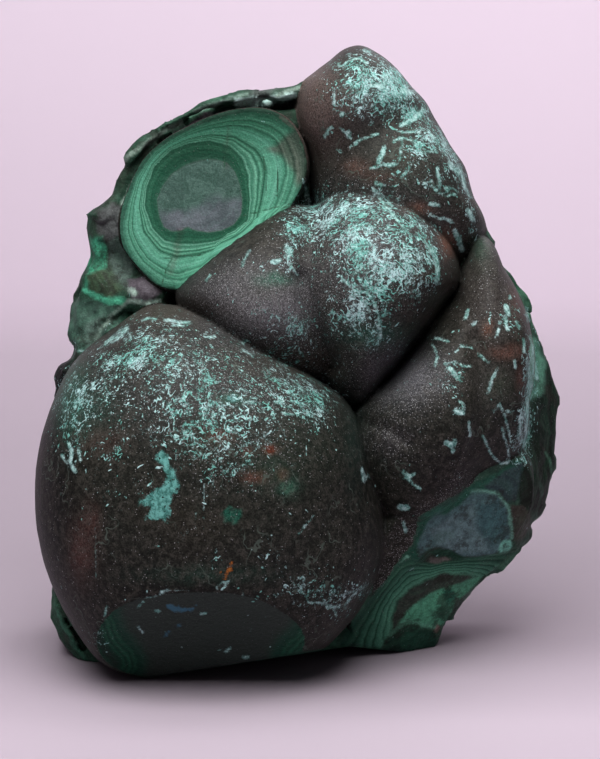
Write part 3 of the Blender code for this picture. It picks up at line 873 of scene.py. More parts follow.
# Turquoise dust: middle, reach across and up, strength
DUST = (
    ((225, 380), (92, 48), 0.44), ((150, 345), (30, 24), 0.5), ((178, 405), (34, 46), 0.42),
    ((300, 393), (24, 15), 0.62), ((318, 413), (12, 20), 0.66), ((255, 415), (42, 26), 0.4),
    ((198, 440), (26, 22), 0.5), ((88, 395), (34, 24), 0.55), ((118, 362), (20, 8), 0.8),
    ((70, 425), (14, 30), 0.5), ((110, 450), (22, 12), 0.45), ((240, 460), (22, 22), 0.34),
    ((214, 478), (16, 18), 0.4), ((332, 598), (26, 20), 0.42), ((300, 585), (22, 12), 0.45),
    ((112, 492), (22, 12), 0.28), ((165, 545), (14, 14), 0.24), ((272, 552), (16, 16), 0.32),
    ((255, 595), (30, 6), 0.4), ((100, 640), (14, 8), 0.45), ((150, 485), (14, 10), 0.3),
    ((216, 560), (10, 7), 0.5), ((282, 352), (20, 8), 0.4), ((360, 590), (10, 10), 0.45),
    ((368, 245), (50, 40), 0.82), ((345, 206), (38, 14), 0.7), ((312, 216), (18, 14), 0.6),
    ((352, 312), (26, 22), 0.72), ((384, 292), (22, 18), 0.66), ((404, 270), (22, 24), 0.8),
    ((412, 232), (16, 18), 0.55), ((432, 262), (7, 18), 0.8), ((376, 334), (14, 14), 0.45),
    ((300, 228), (20, 12), 0.55), ((295, 330), (13, 12), 0.66), ((274, 318), (26, 16), 0.36),
    ((275, 262), (28, 8), 0.42), ((290, 255), (6, 14), 0.75), ((372, 84), (36, 22), 0.88),
    ((395, 88), (24, 18), 0.88), ((414, 114), (16, 9), 0.92), ((352, 104), (22, 18), 0.34),
    ((370, 116), (20, 8), 0.4), ((384, 72), (10, 8), 0.4), ((454, 158), (12, 26), 0.62),
    ((438, 140), (14, 14), 0.72), ((468, 200), (8, 24), 0.5), ((430, 184), (10, 8), 0.4),
    ((474, 226), (5, 12), 0.5), ((384, 188), (12, 10), 0.3), ((416, 144), (18, 16), 0.7),
    ((412, 170), (16, 12), 0.55), ((452, 372), (10, 9), 0.66), ((446, 388), (12, 8), 0.45),
    ((404, 350), (16, 16), 0.32), ((508, 318), (12, 20), 0.46), ((526, 420), (7, 34), 0.75),
    ((520, 445), (8, 12), 0.66), ((530, 375), (8, 28), 0.66), ((458, 410), (8, 6), 0.5),
    ((515, 462), (10, 4), 0.7), ((346, 64), (14, 6), 0.4), ((368, 54), (10, 5), 0.5),
    ((535, 350), (6, 20), 0.45), ((462, 480), (6, 5), 0.3),
)
# Sparkling druse in the skin, in the same way; its sparkle is painted into the colour as light specks, which
# are painted glints
DRUSE_GLINTS = (
    ((268, 306), (44, 30), 0.95), ((240, 300), (30, 20), 0.6), ((300, 290), (20, 20), 0.5),
    ((405, 378), (34, 26), 0.9), ((392, 400), (26, 16), 0.6), ((386, 440), (18, 16), 0.6),
    ((402, 445), (16, 12), 0.5), ((225, 380), (100, 60), 0.5), ((225, 470), (44, 20), 0.34),
    ((330, 300), (40, 30), 0.6), ((360, 230), (60, 40), 0.6), ((462, 478), (14, 6), 0.8),
    ((395, 548), (12, 22), 0.6), ((412, 525), (10, 14), 0.75), ((430, 390), (20, 16), 0.5),
    ((490, 300), (20, 30), 0.3),
)
# Turquoise scratches and scabs: half width, path
MARKS = (
    (1.6, [(101, 346), (112, 338), (121, 331), (129, 325)]), (1.2, [(127, 328), (131, 338)]),
    (1.2, [(104, 346), (118, 339)]), (1.4, [(141, 320), (150, 318), (156, 319)]),
    (1.4, [(165, 320), (180, 322), (196, 323)]), (1.0, [(172, 325), (186, 326)]),
    (1.2, [(205, 337), (214, 337), (219, 334)]), (1.4, [(243, 350), (250, 353), (256, 357)]),
    (1.2, [(272, 360), (280, 364), (287, 366)]), (1.2, [(236, 344), (246, 341)]),
    (1.0, [(213, 414), (218, 404)]), (1.2, [(245, 403), (254, 402)]), (1.2, [(283, 413), (294, 415)]),
    (1.2, [(274, 402), (284, 401)]), (2.0, [(68, 443), (72, 452), (70, 462), (75, 472)]),
    (1.6, [(78, 448), (80, 460)]), (1.5, [(62, 455), (66, 462)]), (1.2, [(247, 392), (240, 388)]),
    (0.6, [(298, 535), (306, 525), (313, 516)]), (0.6, [(302, 528), (310, 520)]),
    (0.3, [(190, 590), (172, 590), (156, 596), (146, 598)]), (0.9, [(160, 592), (170, 589)]),
    (1.0, [(308, 602), (322, 603), (332, 606), (336, 614), (338, 622)]),
    (1.0, [(324, 600), (327, 608), (340, 606)]), (1.1, [(344, 608), (349, 600), (354, 594), (366, 584)]),
    (1.0, [(341, 596), (350, 592), (362, 590)]), (1.2, [(305, 585), (303, 577)]),
    (1.0, [(310, 603), (305, 596)]), (1.0, [(216, 588), (222, 583), (229, 581), (222, 590)]),
    (1.8, [(361, 467), (364, 474), (368, 478)]), (1.4, [(366, 471), (367, 478)]),
    (0.9, [(362, 478), (365, 486)]), (0.35, [(197, 470), (196, 530)]), (0.3, [(204, 484), (203, 530)]),
    (0.4, [(213, 470), (212, 500)]), (0.1, [(96, 520), (96, 578)]), (1.0, [(76, 350), (90, 352)]),
    (1.0, [(105, 616), (107, 606)]), (1.0, [(138, 607), (144, 601)]), (0.9, [(137, 626), (144, 634)]),
    (1.5, [(156, 611), (159, 611)]), (1.2, [(200, 614), (206, 613)]), (1.4, [(225, 652), (230, 648)]),
    (1.6, [(243, 657), (248, 657)]), (1.4, [(372, 188), (378, 195), (386, 207), (394, 216)]),
    (1.2, [(394, 216), (402, 226), (409, 230)]), (1.4, [(408, 229), (415, 222)]),
    (1.3, [(341, 277), (352, 288), (362, 300), (370, 312)]), (1.1, [(352, 275), (362, 268)]),
    (1.2, [(363, 283), (372, 300), (378, 315), (378, 345)]), (1.2, [(374, 300), (380, 322), (381, 338)]),
    (2.2, [(431, 250), (437, 262), (438, 275), (436, 282)]), (1.2, [(424, 240), (432, 252)]),
    (1.4, [(372, 278), (384, 281)]), (1.2, [(286, 250), (290, 262), (292, 268), (298, 276)]),
    (2.4, [(287, 246), (289, 254)]), (2.4, [(272, 262), (279, 261)]),
    (1.5, [(242, 266), (245, 258), (250, 251)]), (0.9, [(305, 196), (308, 188)]),
    (1.0, [(206, 281), (210, 275)]), (1.2, [(300, 352), (303, 356)]),
    (1.5, [(351, 147), (360, 140), (370, 136), (378, 134)]), (1.2, [(366, 75), (362, 80)]),
    (3.0, [(384, 75), (386, 82), (380, 88)]), (2.5, [(372, 85), (382, 86)]),
    (2.2, [(397, 95), (405, 92), (410, 88)]), (3.0, [(402, 90), (411, 93)]),
    (3.2, [(425, 110), (416, 117), (408, 122)]), (2.0, [(400, 125), (410, 121)]),
    (1.4, [(340, 128), (346, 133), (349, 138)]), (1.6, [(349, 131), (351, 139)]),
    (1.6, [(325, 137), (329, 129), (332, 127)]), (2.0, [(341, 115), (343, 114)]),
    (1.6, [(334, 93), (334, 105)]), (1.2, [(337, 150), (341, 152)]),
    (1.2, [(335, 65), (342, 66), (350, 60), (360, 58)]), (1.6, [(362, 60), (367, 63)]),
    (1.6, [(364, 50), (371, 54)]), (1.2, [(345, 57), (352, 53)]), (1.3, [(398, 132), (412, 132), (420, 132)]),
    (1.3, [(393, 142), (400, 138), (412, 140)]), (1.2, [(425, 152), (432, 151), (438, 152)]),
    (2.4, [(384, 147), (382, 155), (378, 160)]), (2.2, [(378, 162), (386, 165), (396, 164)]),
    (1.4, [(370, 169), (380, 166)]), (1.2, [(401, 178), (407, 171), (411, 164)]),
    (1.2, [(402, 140), (400, 160)]), (2.5, [(440, 138), (445, 145)]), (2.2, [(430, 135), (434, 138)]),
    (2.6, [(450, 163), (452, 168)]), (1.8, [(437, 168), (439, 178), (440, 186)]),
    (1.3, [(423, 184), (432, 182)]), (1.3, [(432, 187), (440, 193), (446, 196), (456, 194)]),
    (1.0, [(446, 192), (452, 188), (458, 192)]), (1.6, [(430, 214), (438, 218), (447, 219), (452, 222)]),
    (2.2, [(430, 204), (438, 205)]), (2.8, [(455, 231), (459, 240), (462, 250)]),
    (2.6, [(468, 210), (473, 220)]), (1.6, [(452, 165), (460, 178), (466, 190), (470, 198)]),
    (2.0, [(458, 165), (463, 178)]), (2.0, [(376, 183), (384, 186)]), (1.4, [(388, 203), (392, 206)]),
    (1.2, [(427, 338), (436, 338), (448, 341)]), (1.2, [(431, 343), (436, 350), (437, 358), (435, 366)]),
    (1.1, [(444, 364), (456, 362), (464, 366), (472, 366)]), (2.6, [(450, 368), (456, 376)]),
    (1.2, [(455, 352), (460, 347)]), (1.0, [(461, 345), (472, 348)]),
    (1.5, [(478, 354), (484, 359), (488, 362)]), (1.6, [(497, 369), (492, 380), (488, 393)]),
    (1.3, [(459, 401), (464, 405), (464, 410)]), (2.4, [(456, 412), (462, 413)]),
    (1.3, [(469, 422), (470, 436)]), (3.0, [(447, 443), (452, 446)]), (1.6, [(455, 440), (453, 452)]),
    (1.6, [(403, 471), (408, 478), (412, 484), (420, 489)]), (1.8, [(405, 478), (414, 474)]),
    (3.2, [(400, 507), (407, 508)]), (1.8, [(403, 522), (406, 532)]), (1.6, [(465, 319), (468, 310)]),
    (1.4, [(472, 325), (476, 322)]), (1.5, [(496, 338), (499, 328), (500, 322)]),
    (2.6, [(506, 306), (508, 314)]), (1.8, [(505, 318), (508, 330)]), (1.6, [(510, 298), (513, 294)]),
    (1.4, [(516, 322), (520, 328)]), (1.2, [(482, 435), (486, 442), (490, 452), (495, 459), (501, 463)]),
    (1.6, [(501, 463), (506, 463), (510, 460)]),
    (1.1, [(493, 412), (497, 406), (500, 404), (504, 414), (508, 428), (511, 442)]),
    (1.2, [(502, 428), (506, 442), (509, 456)]), (1.1, [(506, 411), (512, 412)]),
    (1.6, [(527, 358), (529, 380), (528, 400)]), (2.0, [(527, 400), (527, 425)]),
    (1.5, [(520, 415), (520, 440)]), (2.0, [(528, 430), (524, 446)]), (1.6, [(518, 436), (523, 445)]),
    (2.4, [(534, 362), (537, 378)]), (1.4, [(533, 345), (534, 356)]), (1.6, [(524, 352), (524, 340)]),
    (1.6, [(526, 308), (529, 322)]), (1.3, [(515, 360), (515, 368)]), (1.5, [(446, 188), (450, 187)]),
    (1.0, [(303, 180), (308, 196)]),
)
SCAB = [
    (158, 452), (163, 450), (168, 455), (171, 463), (175, 470), (178, 478), (180, 485), (177, 492),
    (172, 496), (170, 503), (171, 512), (169, 519), (166, 523), (163, 520), (157, 521), (150, 519),
    (143, 521), (147, 515), (152, 512), (150, 506), (144, 507), (138, 505), (137, 501), (142, 498),
    (150, 494), (156, 489), (162, 485), (166, 479), (166, 472), (162, 466), (157, 462), (155, 457),
]
RUST = ((2.2, [(231, 564), (229, 570)]), (1.6, [(226, 575), (225, 578)]), (0.8, [(221, 571), (219, 574)]))
BLUE = (
    (2.4, [(169, 606), (176, 609), (186, 610)]), (0.6, [(190, 611), (196, 606)]),
    (0.7, [(164, 637), (170, 630)]), (0.5, [(175, 629), (181, 624)]),
)
CRACKS = (
    (0.9, [(264, 157), (265, 172), (266, 190)]), (0.8, [(165, 258), (180, 256), (197, 256), (206, 253)]),
    (0.9, [(276, 160), (278, 178), (277, 196)]),
    (0.8, [(228, 262), (236, 250), (243, 243), (262, 228), (276, 214), (290, 203)]),
    (0.8, [(243, 216), (262, 211), (280, 206)]), (0.8, [(172, 258), (166, 270), (162, 284)]),
    (0.7, [(228, 130), (226, 150), (223, 176)]),
)
VEINS = ((4.0, [(181, 232), (177, 250), (171, 272)]), (2.0, [(229, 128), (226, 150), (225, 168)]))
EYE_BROWN = [
    (264, 150), (280, 139), (298, 126), (307, 140), (310, 158), (307, 182), (298, 190), (291, 172),
    (282, 158),
]
SWIRL_AT = (199.0, 194.0)
SWIRL_REACH = (40.0, 24.0)
# The distance given where no stroke and no crease is near
NOWHERE = 99.0
FAR_FROM_CREASE = 9.0


def strokes_distance(q, strokes):
    """Signed distance to the nearest of the strokes, negative inside."""
    best = np.full(len(q), NOWHERE)
    for half, path in strokes:
        best = np.minimum(best, line_distance(q, path) - half)
    return best


def spots(q, entries):
    """Soft round spots laid over one another, from 0 to 1."""
    clear = np.ones(len(q))
    for (x, y), (reach_x, reach_y), strength in entries:
        r2 = ((q[:, 0] - x) / reach_x) ** 2 + ((q[:, 1] - y) / reach_y) ** 2
        clear = clear * (1 - np.minimum(strength * np.exp(-0.7 * r2), 0.99))
    return 1 - clear


def linear(colour):
    """Display colour, 0 to 255, to a linear one."""
    c = np.array(colour, float) / 255
    return np.where(c < 0.04045, c / 12.92, ((c + 0.055) / 1.055) ** 2.4)


def lay(colours, weight, colour):
    return colours + (linear(colour) - colours) * np.clip(weight, 0, 1)[:, None]


def flat(colour):
    return np.tile(linear(colour), (len(points), 1))


def give(name, values, kind="FLOAT"):
    """Stores the values on the points of the mesh, for the material to read."""
    stored = stone.data.attributes.new(name, kind, "POINT")
    if kind == "FLOAT":
        stored.data.foreach_set("value", np.ascontiguousarray(values, np.float32))
    else:
        full = np.ones((len(values), 4), np.float32)
        full[:, :3] = np.clip(values, 0, 1)
        stored.data.foreach_set("color", full.ravel())


seen = sight(points)
blur = np.stack((noise(points, 1.6, 21), noise(points, 1.6, 22)), axis=1)
ragged = seen + 1.6 * blur
whole = crust_field(points, cut=False)
below_skin = whole < -0.05
in_front = smoothstep(facing, -0.02, 0.10)
front = in_front > 0.5


def inside(outline, start, end, at=ragged):
    """Rises from 0 to 1 as a point goes from start to end, in pixels inside the outline."""
    return smoothstep(-area_distance(at, outline), start, end)


# Above 0 where the skin is gone
bare = np.maximum(-whole - 0.12, whole - 0.25)
bare = np.maximum(bare, np.where(front, -area_distance(ragged, CORNER) / PIXELS_PER_UNIT, -1.0))
bare = np.where((area_distance(ragged, FOOT_SKIN) < 0) & front, -1.0, bare)
give("bare", bare)
give("in_front", in_front)
# Painted shade lies where two domes meet
give("crease", np.where(bare > 0.2, FAR_FROM_CREASE, crease_of(points)))

# Skin: dark brown, warmer and cooler in places, with stains, painted sheen on the lit domes and painted shade
# low down and on the flanks
warmth = fractal(points, 14.0, 3, 31)
skin = flat((32, 34, 30))
skin = lay(skin, smoothstep(warmth, 0.0, 0.9) * 0.6, (44, 41, 35))
skin = lay(skin, smoothstep(-warmth, 0.1, 0.9) * 0.6, (30, 34, 31))
# Stains, painted sheen and painted shade are laid into the skin colour here
for colour, middle_at, reach, strength in STAINS_SHEEN_AND_SHADE:
    skin = lay(skin, spots(seen + 3.0 * blur, ((middle_at, reach, 0.99),)) * strength * in_front, colour)
for colour, outline in SKIN_PATCHES:
    skin = lay(skin, inside(outline, -1.0, 1.0) * in_front, colour)
give("skin_tint", skin, "FLOAT_COLOR")

# Broken stone: mottled green, with faces of their own colour
mottle = fractal(points, 6.0, 4, 41)
rock_tint = flat((38, 62, 50))
rock_tint = lay(rock_tint, smoothstep(mottle, 0.0, 0.9) * 0.7, (66, 104, 84))
rock_tint = lay(rock_tint, smoothstep(-mottle, 0.1, 0.9) * 0.8, (40, 42, 36))
rock_tint = lay(rock_tint, smoothstep(fractal(points, 11.0, 3, 47), 0.45, 0.8) * 0.7, (80, 82, 82))
for colour, soft, outline in FACES:
    rock_tint = lay(rock_tint, inside(outline, -soft / 2, soft / 2) * in_front, colour)
for colour, half, path in FACE_LINES:
    rock_tint = lay(rock_tint, smoothstep(half - line_distance(ragged, path), -1.0, 1.0) * in_front, colour)
give("rock_tint", rock_tint, "FLOAT_COLOR")
give("layer_ring", whole / 6.0 + 0.10 * mottle)

# Sawn dome: its growth rings run from 0 at the core's edge, by 0.3 at the dark ring, to 1 at the rim
core = area_distance(seen, EYE_CORE)
to_rim = area_distance(seen, EYE_EDGE)
within_rim = np.maximum(-to_rim, 0.0)
dark_ring = area_distance(seen, EYE_INNER)
within = np.maximum(-dark_ring, 0.0)
beyond = np.maximum(dark_ring, 0.0)
outer_rings = 0.3 + 0.7 * beyond / (beyond + within_rim + 0.01)
eye_ring = np.where(dark_ring < 0, 0.3 * core / (core + within + 0.01), outer_rings)
eye_ring = np.where(core > 0, eye_ring, core / 30.0)
give("eye_ring", eye_ring + 0.09 * inside(EYE_FAULT, -0.6, 0.6, seen) * (core > 4))
in_eye = (to_rim < 5.0) * below_skin * in_front
in_eye = in_eye * (1 - inside(EYE_SKIN, -1.0, 1.0, seen))
give("in_eye", in_eye)
across, down = seen[:, 0], seen[:, 1]
# Painted shading of the sawn face: darker towards its top, lighter towards its lower left, standing in for
# how its fibres reflect the light
give("eye_shading", smoothstep(down + 0.15 * (across - 215), 118.0, 190.0))
give("core_low", smoothstep(down + 0.25 * (across - 200) + 6.0 * blur[:, 0], 192.0, 216.0))
give("swirl", np.hypot((across - SWIRL_AT[0]) / SWIRL_REACH[0], (down - SWIRL_AT[1]) / SWIRL_REACH[1]))
give("brown", inside(EYE_BROWN, -3, 5))
give("vein", smoothstep(-strokes_distance(ragged, VEINS), -2, 4))

# Bands of the broken corner, and arcs of the chip at the foot
inner = line_distance(seen, BAND_INNER)
outer = line_distance(seen, BAND_OUTER)
give("band_ring", inner / (inner + outer + 0.01))
give("in_bands", inside(BANDED, -1.2, 1.2) * in_front)
give("chip_ring", np.minimum(line_distance(seen, CHIP_LEFT), line_distance(seen, CHIP_RIGHT)) / 40.0)
give("in_chip", inside(CHIP_EDGE, -5.0, -2.0, seen) * below_skin * in_front)

# Dust, druse and strokes
dust = np.maximum(spots(seen, DUST) * in_front, 0.01)
dust = dust + 0.25 * (1 - in_front) * smoothstep(fractal(points, 16.0, 2, 51), 0.1, 0.8)
give("dust", dust * (1 - in_eye))
near_skin_edge = np.exp(-((line_distance(seen, SKIN_EDGE) / 9.0) ** 2)) * (area_distance(seen, CORNER) > -2)
give("druse", np.maximum(np.maximum(spots(seen, DRUSE_GLINTS), 0.85 * near_skin_edge) * in_front, 0.05))
give("scabs", np.where(front, area_distance(seen, SCAB), NOWHERE))
for name, strokes in (("marks", MARKS), ("rust", RUST), ("blue", BLUE), ("cracks", CRACKS)):
    give(name, np.where(front, strokes_distance(seen, strokes), NOWHERE))


# ---- node helpers: each adds to the tree that was begun last --------------------------------------
def new_material(name):
    global tree
    made = bpy.data.materials.new(name)
    made.use_nodes = True
    tree = made.node_tree
    return made, tree.nodes["Principled BSDF"]


def add(kind, **settings):
    node = tree.nodes.new("ShaderNode" + kind)
    for name, value in settings.items():
        setattr(node, name, value)
    return node


def feed(socket, source):
    """Links the socket to an output, or sets its number, vector or colour."""
    if isinstance(source, bpy.types.NodeSocket):
        tree.links.new(source, socket)
    elif isinstance(source, tuple) and socket.type == "RGBA":
        socket.default_value = source + (1.0,) * (4 - len(source))
    else:
        socket.default_value = source


def feed_all(node, **sources):
    for name, source in sources.items():
        feed(node.inputs[name], source)
    return node


def calc(operation, a, b=0.0, c=0.0):
    node = add("Math", operation=operation)
    for socket, source in zip(node.inputs, (a, b, c)):
        feed(socket, source)
    return node.outputs[0]


def chain(operation):
    """The operation as a function of two or more values, taken from left to right."""
    return lambda *values: functools.reduce(lambda a, b: calc(operation, a, b), values)


times, plus, most = chain("MULTIPLY"), chain("ADD"), chain("MAXIMUM")


def scaled(x, factor, start):
    return calc("MULTIPLY_ADD", x, factor, start)


def swing(source, reach):
    """Noise from 0 to 1, moved to swing about 0."""
    return times(calc("SUBTRACT", source, 0.5), reach)


def midline(source):
    """0 along the curves where the noise passes its middle value."""
    return calc("ABSOLUTE", calc("SUBTRACT", source, 0.5))


def step_up(x, start, end, bottom=0.0, top=1.0, kind="SMOOTHSTEP"):
    """From bottom at start to top at end, and level past both; end may be the smaller."""
    node = add("MapRange", interpolation_type=kind)
    feed(node.inputs["Value"], x)
    for side, (at, level) in zip(("Min", "Max"), sorted(((start, bottom), (end, top)))):
        feed(node.inputs["From " + side], at)
        feed(node.inputs["To " + side], level)
    return node.outputs["Result"]


def layer(name, output="Fac"):
    return add("Attribute", attribute_type="GEOMETRY", attribute_name=name).outputs[output]


def mix(factor, a, b, blend="MIX"):
    node = add("Mix", data_type="RGBA", blend_type=blend)
    for number, source in ((0, factor), (6, a), (7, b)):
        feed(node.inputs[number], source)
    return node.outputs[2]


def tone(colour):
    return tuple(float(v) for v in linear(colour))


def painted(colour, factor, display):
    return mix(factor, colour, tone(display))


def tinted(colour, tint):
    return mix(1.0, colour, tint, "MULTIPLY")


def mottled(colour, source, start, end, dark, light):
    """The colour, tinted dark where the source is below start and light where it is above end."""
    return tinted(colour, mix(step_up(source, start, end), dark, light))


def two_tone(source, start, end, below, above):
    return mix(step_up(source, start, end), tone(below), tone(above))


def cloud(scale, detail=2.0, roughness=0.5, at=None, output="Fac"):
    node = feed_all(add("TexNoise"), Scale=scale, Detail=detail, Roughness=roughness, Vector=at or place)
    return node.outputs[output]


def lines(ring, scale, detail):
    """Noise along a ring value only, so that it gives bands."""
    return feed_all(add("TexNoise", noise_dimensions="1D"), Scale=scale, Detail=detail, W=ring).outputs["Fac"]


def cells(scale, at=None):
    """The distance to the nearest cell's point, and two random numbers of that cell."""
    node = feed_all(add("TexVoronoi"), Scale=scale, Vector=at or place)
    chance = feed_all(add("SeparateColor"), Color=node.outputs["Color"])
    return node.outputs["Distance"], chance.outputs["Red"], chance.outputs["Green"]


def vector_calc(operation, a, b=(0.0, 0.0, 0.0), output="Vector"):
    node = add("VectorMath", operation=operation)
    feed(node.inputs[0], a)
    feed(node.inputs[1], b)
    return node.outputs[output]


def ramp(x, stops):
    """A colour ramp; its colours are linear."""
    node = feed_all(add("ValToRGB"), Fac=x)
    band = node.color_ramp
    while len(band.elements) > 1:
        band.elements.remove(band.elements[-1])
    for number, (at, colour) in enumerate(stops):
        element = band.elements.new(at) if number else band.elements[0]
        element.position = at
        element.color = (*colour, 1.0)
    return node.outputs["Color"]


def tones(stops):
    return [(at, tone(colour)) for at, colour in stops]


def needles(angle, length, width, density):
    """Short scratches that run at an angle across the face."""
    turned = feed_all(add("VectorRotate", rotation_type="Y_AXIS"), Angle=math.radians(angle), Vector=bent)
    stretched = vector_calc("MULTIPLY", turned.outputs["Vector"], (1 / length, 1 / width, 1 / width))
    near, chance, thick = cells(1.0, stretched)
    slim = scaled(thick, 0.16, 0.14)
    return times(calc("LESS_THAN", chance, density), step_up(calc("SUBTRACT", near, slim), 0.05, -0.05))


# ---- the stone's material: noise scales are per metre, and lengths are in metres ------------------
# Bands along a ring value: where, colour
EYE_STOPS = (
    (0.0, (84, 108, 100)), (0.04, (46, 96, 76)), (0.14, (36, 92, 70)), (0.22, (52, 110, 86)),
    (0.28, (40, 96, 74)), (0.31, (112, 178, 152)), (0.34, (62, 128, 102)), (0.385, (116, 186, 158)),
    (0.42, (58, 124, 98)), (0.45, (98, 168, 140)), (0.49, (46, 106, 82)), (0.53, (104, 178, 150)),
    (0.6, (96, 172, 144)), (0.64, (112, 186, 160)), (0.7, (88, 162, 134)), (0.73, (54, 112, 90)),
    (0.755, (104, 176, 148)), (0.8, (84, 156, 128)), (0.83, (62, 124, 100)), (0.86, (98, 166, 140)),
    (0.92, (74, 138, 114)), (1.0, (58, 104, 86)),
)
BAND_STOPS = (
    (0.0, (64, 118, 94)), (0.06, (96, 160, 132)), (0.14, (84, 148, 120)), (0.2, (52, 104, 82)),
    (0.24, (92, 156, 128)), (0.34, (76, 138, 112)), (0.4, (40, 84, 66)), (0.44, (84, 146, 120)),
    (0.52, (66, 124, 100)), (0.57, (36, 78, 60)), (0.62, (80, 140, 114)), (0.7, (60, 112, 90)),
    (0.76, (34, 74, 58)), (0.82, (66, 118, 94)), (0.92, (44, 88, 70)), (1.0, (56, 98, 82)),
)
CHIP_STOPS = (
    (0.0, (40, 54, 46)), (0.12, (30, 66, 52)), (0.2, (42, 92, 72)), (0.26, (26, 62, 48)),
    (0.34, (50, 102, 80)), (0.4, (28, 66, 52)), (0.47, (46, 94, 74)), (0.54, (30, 68, 54)),
    (0.66, (44, 76, 64)), (0.85, (58, 68, 62)), (1.0, (62, 68, 64)),
)
# Scratches in the dust: angle in degrees, length, width
NEEDLES = ((28.0, 0.0036, 0.0009), (-48.0, 0.0030, 0.0008), (82.0, 0.0040, 0.0008))

material, shader = new_material("malachite")
place = add("TexCoord").outputs["Object"]
sway = vector_calc("MULTIPLY", cloud(220.0, output="Color"), (0.003, 0.003, 0.003))
bent = vector_calc("ADD", place, sway)
fine = cloud(2600.0, 2.0, 0.6)
medium = cloud(700.0, 3.0, 0.6)
broad = cloud(160.0, 3.0, 0.55)

# Skin, with faint hair scratches
skin_tint = layer("skin_tint", "Color")
skin_colour = mix(0.65, skin_tint, painted(skin_tint, step_up(medium, 0.35, 0.7), (51, 49, 44)))
skin_colour = mottled(skin_colour, fine, 0.35, 0.65, (0.55, 0.55, 0.55), (1.5, 1.5, 1.5))
skin_colour = mottled(skin_colour, medium, 0.38, 0.62, (0.78, 0.78, 0.76), (1.2, 1.2, 1.22))
hairlines = step_up(midline(cloud(130.0, 3.0, 0.45)), 0.012, 0.003)
hairlines = times(hairlines, step_up(cloud(90.0), 0.50, 0.62), 0.6)
skin_colour = painted(skin_colour, hairlines, (80, 92, 84))

# Sawn dome
ring = plus(layer("eye_ring"), swing(broad, 0.06))
eye_colour = ramp(ring, tones(EYE_STOPS))
fine_rings = lines(layer("eye_ring"), 34.0, 3.0)
eye_colour = mottled(eye_colour, fine_rings, 0.3, 0.7, (0.78, 0.80, 0.80), (1.16, 1.14, 1.14))
# Painted shading: the sawn face is darkened strongly towards its top and less towards its lower left
eye_colour = tinted(eye_colour, mix(layer("eye_shading"), (0.17, 0.23, 0.20), (0.74, 0.71, 0.70)))
core_colour = two_tone(cloud(230.0, 3.0, 0.45), 0.36, 0.66, (74, 82, 86), (96, 102, 108))
curl_ring = plus(layer("swirl"), swing(cloud(150.0, 3.0), 3.6))
curl_lines = step_up(lines(curl_ring, 3.2, 3.0), 0.42, 0.62)
upper_core = mix(curl_lines, tone((50, 80, 68)), tone((72, 98, 88)))
core_colour = mix(times(step_up(layer("core_low"), 0.9, 0.1), 0.85), core_colour, upper_core)
core_colour = painted(core_colour, times(curl_lines, 0.14), (70, 108, 96))
eye_colour = mix(step_up(ring, 0.015, -0.02), eye_colour, core_colour)
eye_colour = mix(layer("brown"), eye_colour, (1.02, 0.44, 0.50), "MULTIPLY")
eye_colour = mix(times(layer("vein"), 0.8), eye_colour, (1.06, 0.66, 0.70), "MULTIPLY")
eye_colour = painted(eye_colour, step_up(layer("cracks"), 0.6, -0.6), (44, 78, 60))

# Broken stone: the corner's bands, the chip's arcs, and faint layers everywhere else
wavy = swing(cloud(330.0), 0.16)
band_colour = ramp(plus(layer("band_ring"), wavy), tones(BAND_STOPS))
band_colour = tinted(band_colour, mix(broad, (0.36, 0.36, 0.36), (0.84, 0.82, 0.82)))
# Painted shade: the chip, low on the great dome and facing down, is darkened to about half its colour
chip_colour = tinted(ramp(plus(layer("chip_ring"), wavy), tones(CHIP_STOPS)), (0.50, 0.58, 0.55))
rock_colour = mottled(layer("rock_tint", "Color"), medium, 0.36, 0.66, (0.88, 0.88, 0.88), (1.36, 1.40, 1.38))
banding = times(
    step_up(lines(layer("layer_ring"), 7.0, 4.0), 0.40, 0.62), scaled(layer("in_front"), -0.31, 0.42),
    step_up(cloud(60.0, 3.0, 0.6), 0.42, 0.54),
)
rock_colour = painted(rock_colour, banding, (76, 128, 102))
rock_colour = painted(rock_colour, times(step_up(cloud(95.0, 6.0, 0.75), 0.54, 0.62), 0.6), (34, 32, 28))
rock_colour = mix(layer("in_bands"), rock_colour, band_colour)
rock_colour = mix(layer("in_chip"), rock_colour, chip_colour)
rock_colour = mix(step_up(layer("in_eye"), 0.4, 0.6), rock_colour, eye_colour)
rock_colour = mottled(rock_colour, fine, 0.3, 0.7, (0.82, 0.82, 0.82), (1.18, 1.18, 1.18))
is_bare = step_up(plus(layer("bare"), swing(medium, 0.25)), -0.05, 0.05)
colour = mix(is_bare, skin_colour, rock_colour)

# Dust: smears, dots, scratches, curls and the drawn strokes
dust_near = layer("dust")
patchy = cloud(380.0, 5.0, 0.75, bent)
grainy = cloud(1500.0, 3.0, 0.75, bent)
laid = plus(times(patchy, 0.5), times(grainy, 0.5))
amount = times(dust_near, scaled(step_up(patchy, 0.36, 0.64), 1.2, 0.15))
drifts = swing(cloud(150.0, 3.0, 0.6, bent), 0.25)
smear = step_up(plus(laid, drifts, times(dust_near, 0.225)), 0.64, 0.79)
dot_near, dot_chance, dot_size = cells(2400.0, bent)
dots = times(
    calc("LESS_THAN", dot_chance, times(amount, amount, 0.55)),
    step_up(calc("SUBTRACT", dot_near, times(dot_size, 0.40)), 0.22, 0.06),
)
scuff = times(amount, 0.42)
hairs = times(most(*[needles(*needle, scuff) for needle in NEEDLES]), step_up(medium, 0.32, 0.55))
torn = plus(swing(cloud(900.0, 5.0, 0.8), 7.0), 0.3)
drawn = times(step_up(plus(layer("marks"), torn), 1.1, -1.1), scaled(step_up(medium, 0.36, 0.6), 0.55, 0.45))
curl_gate = step_up(plus(cloud(480.0, 2.0, 0.6), times(dust_near, 0.42)), 0.74, 0.84)
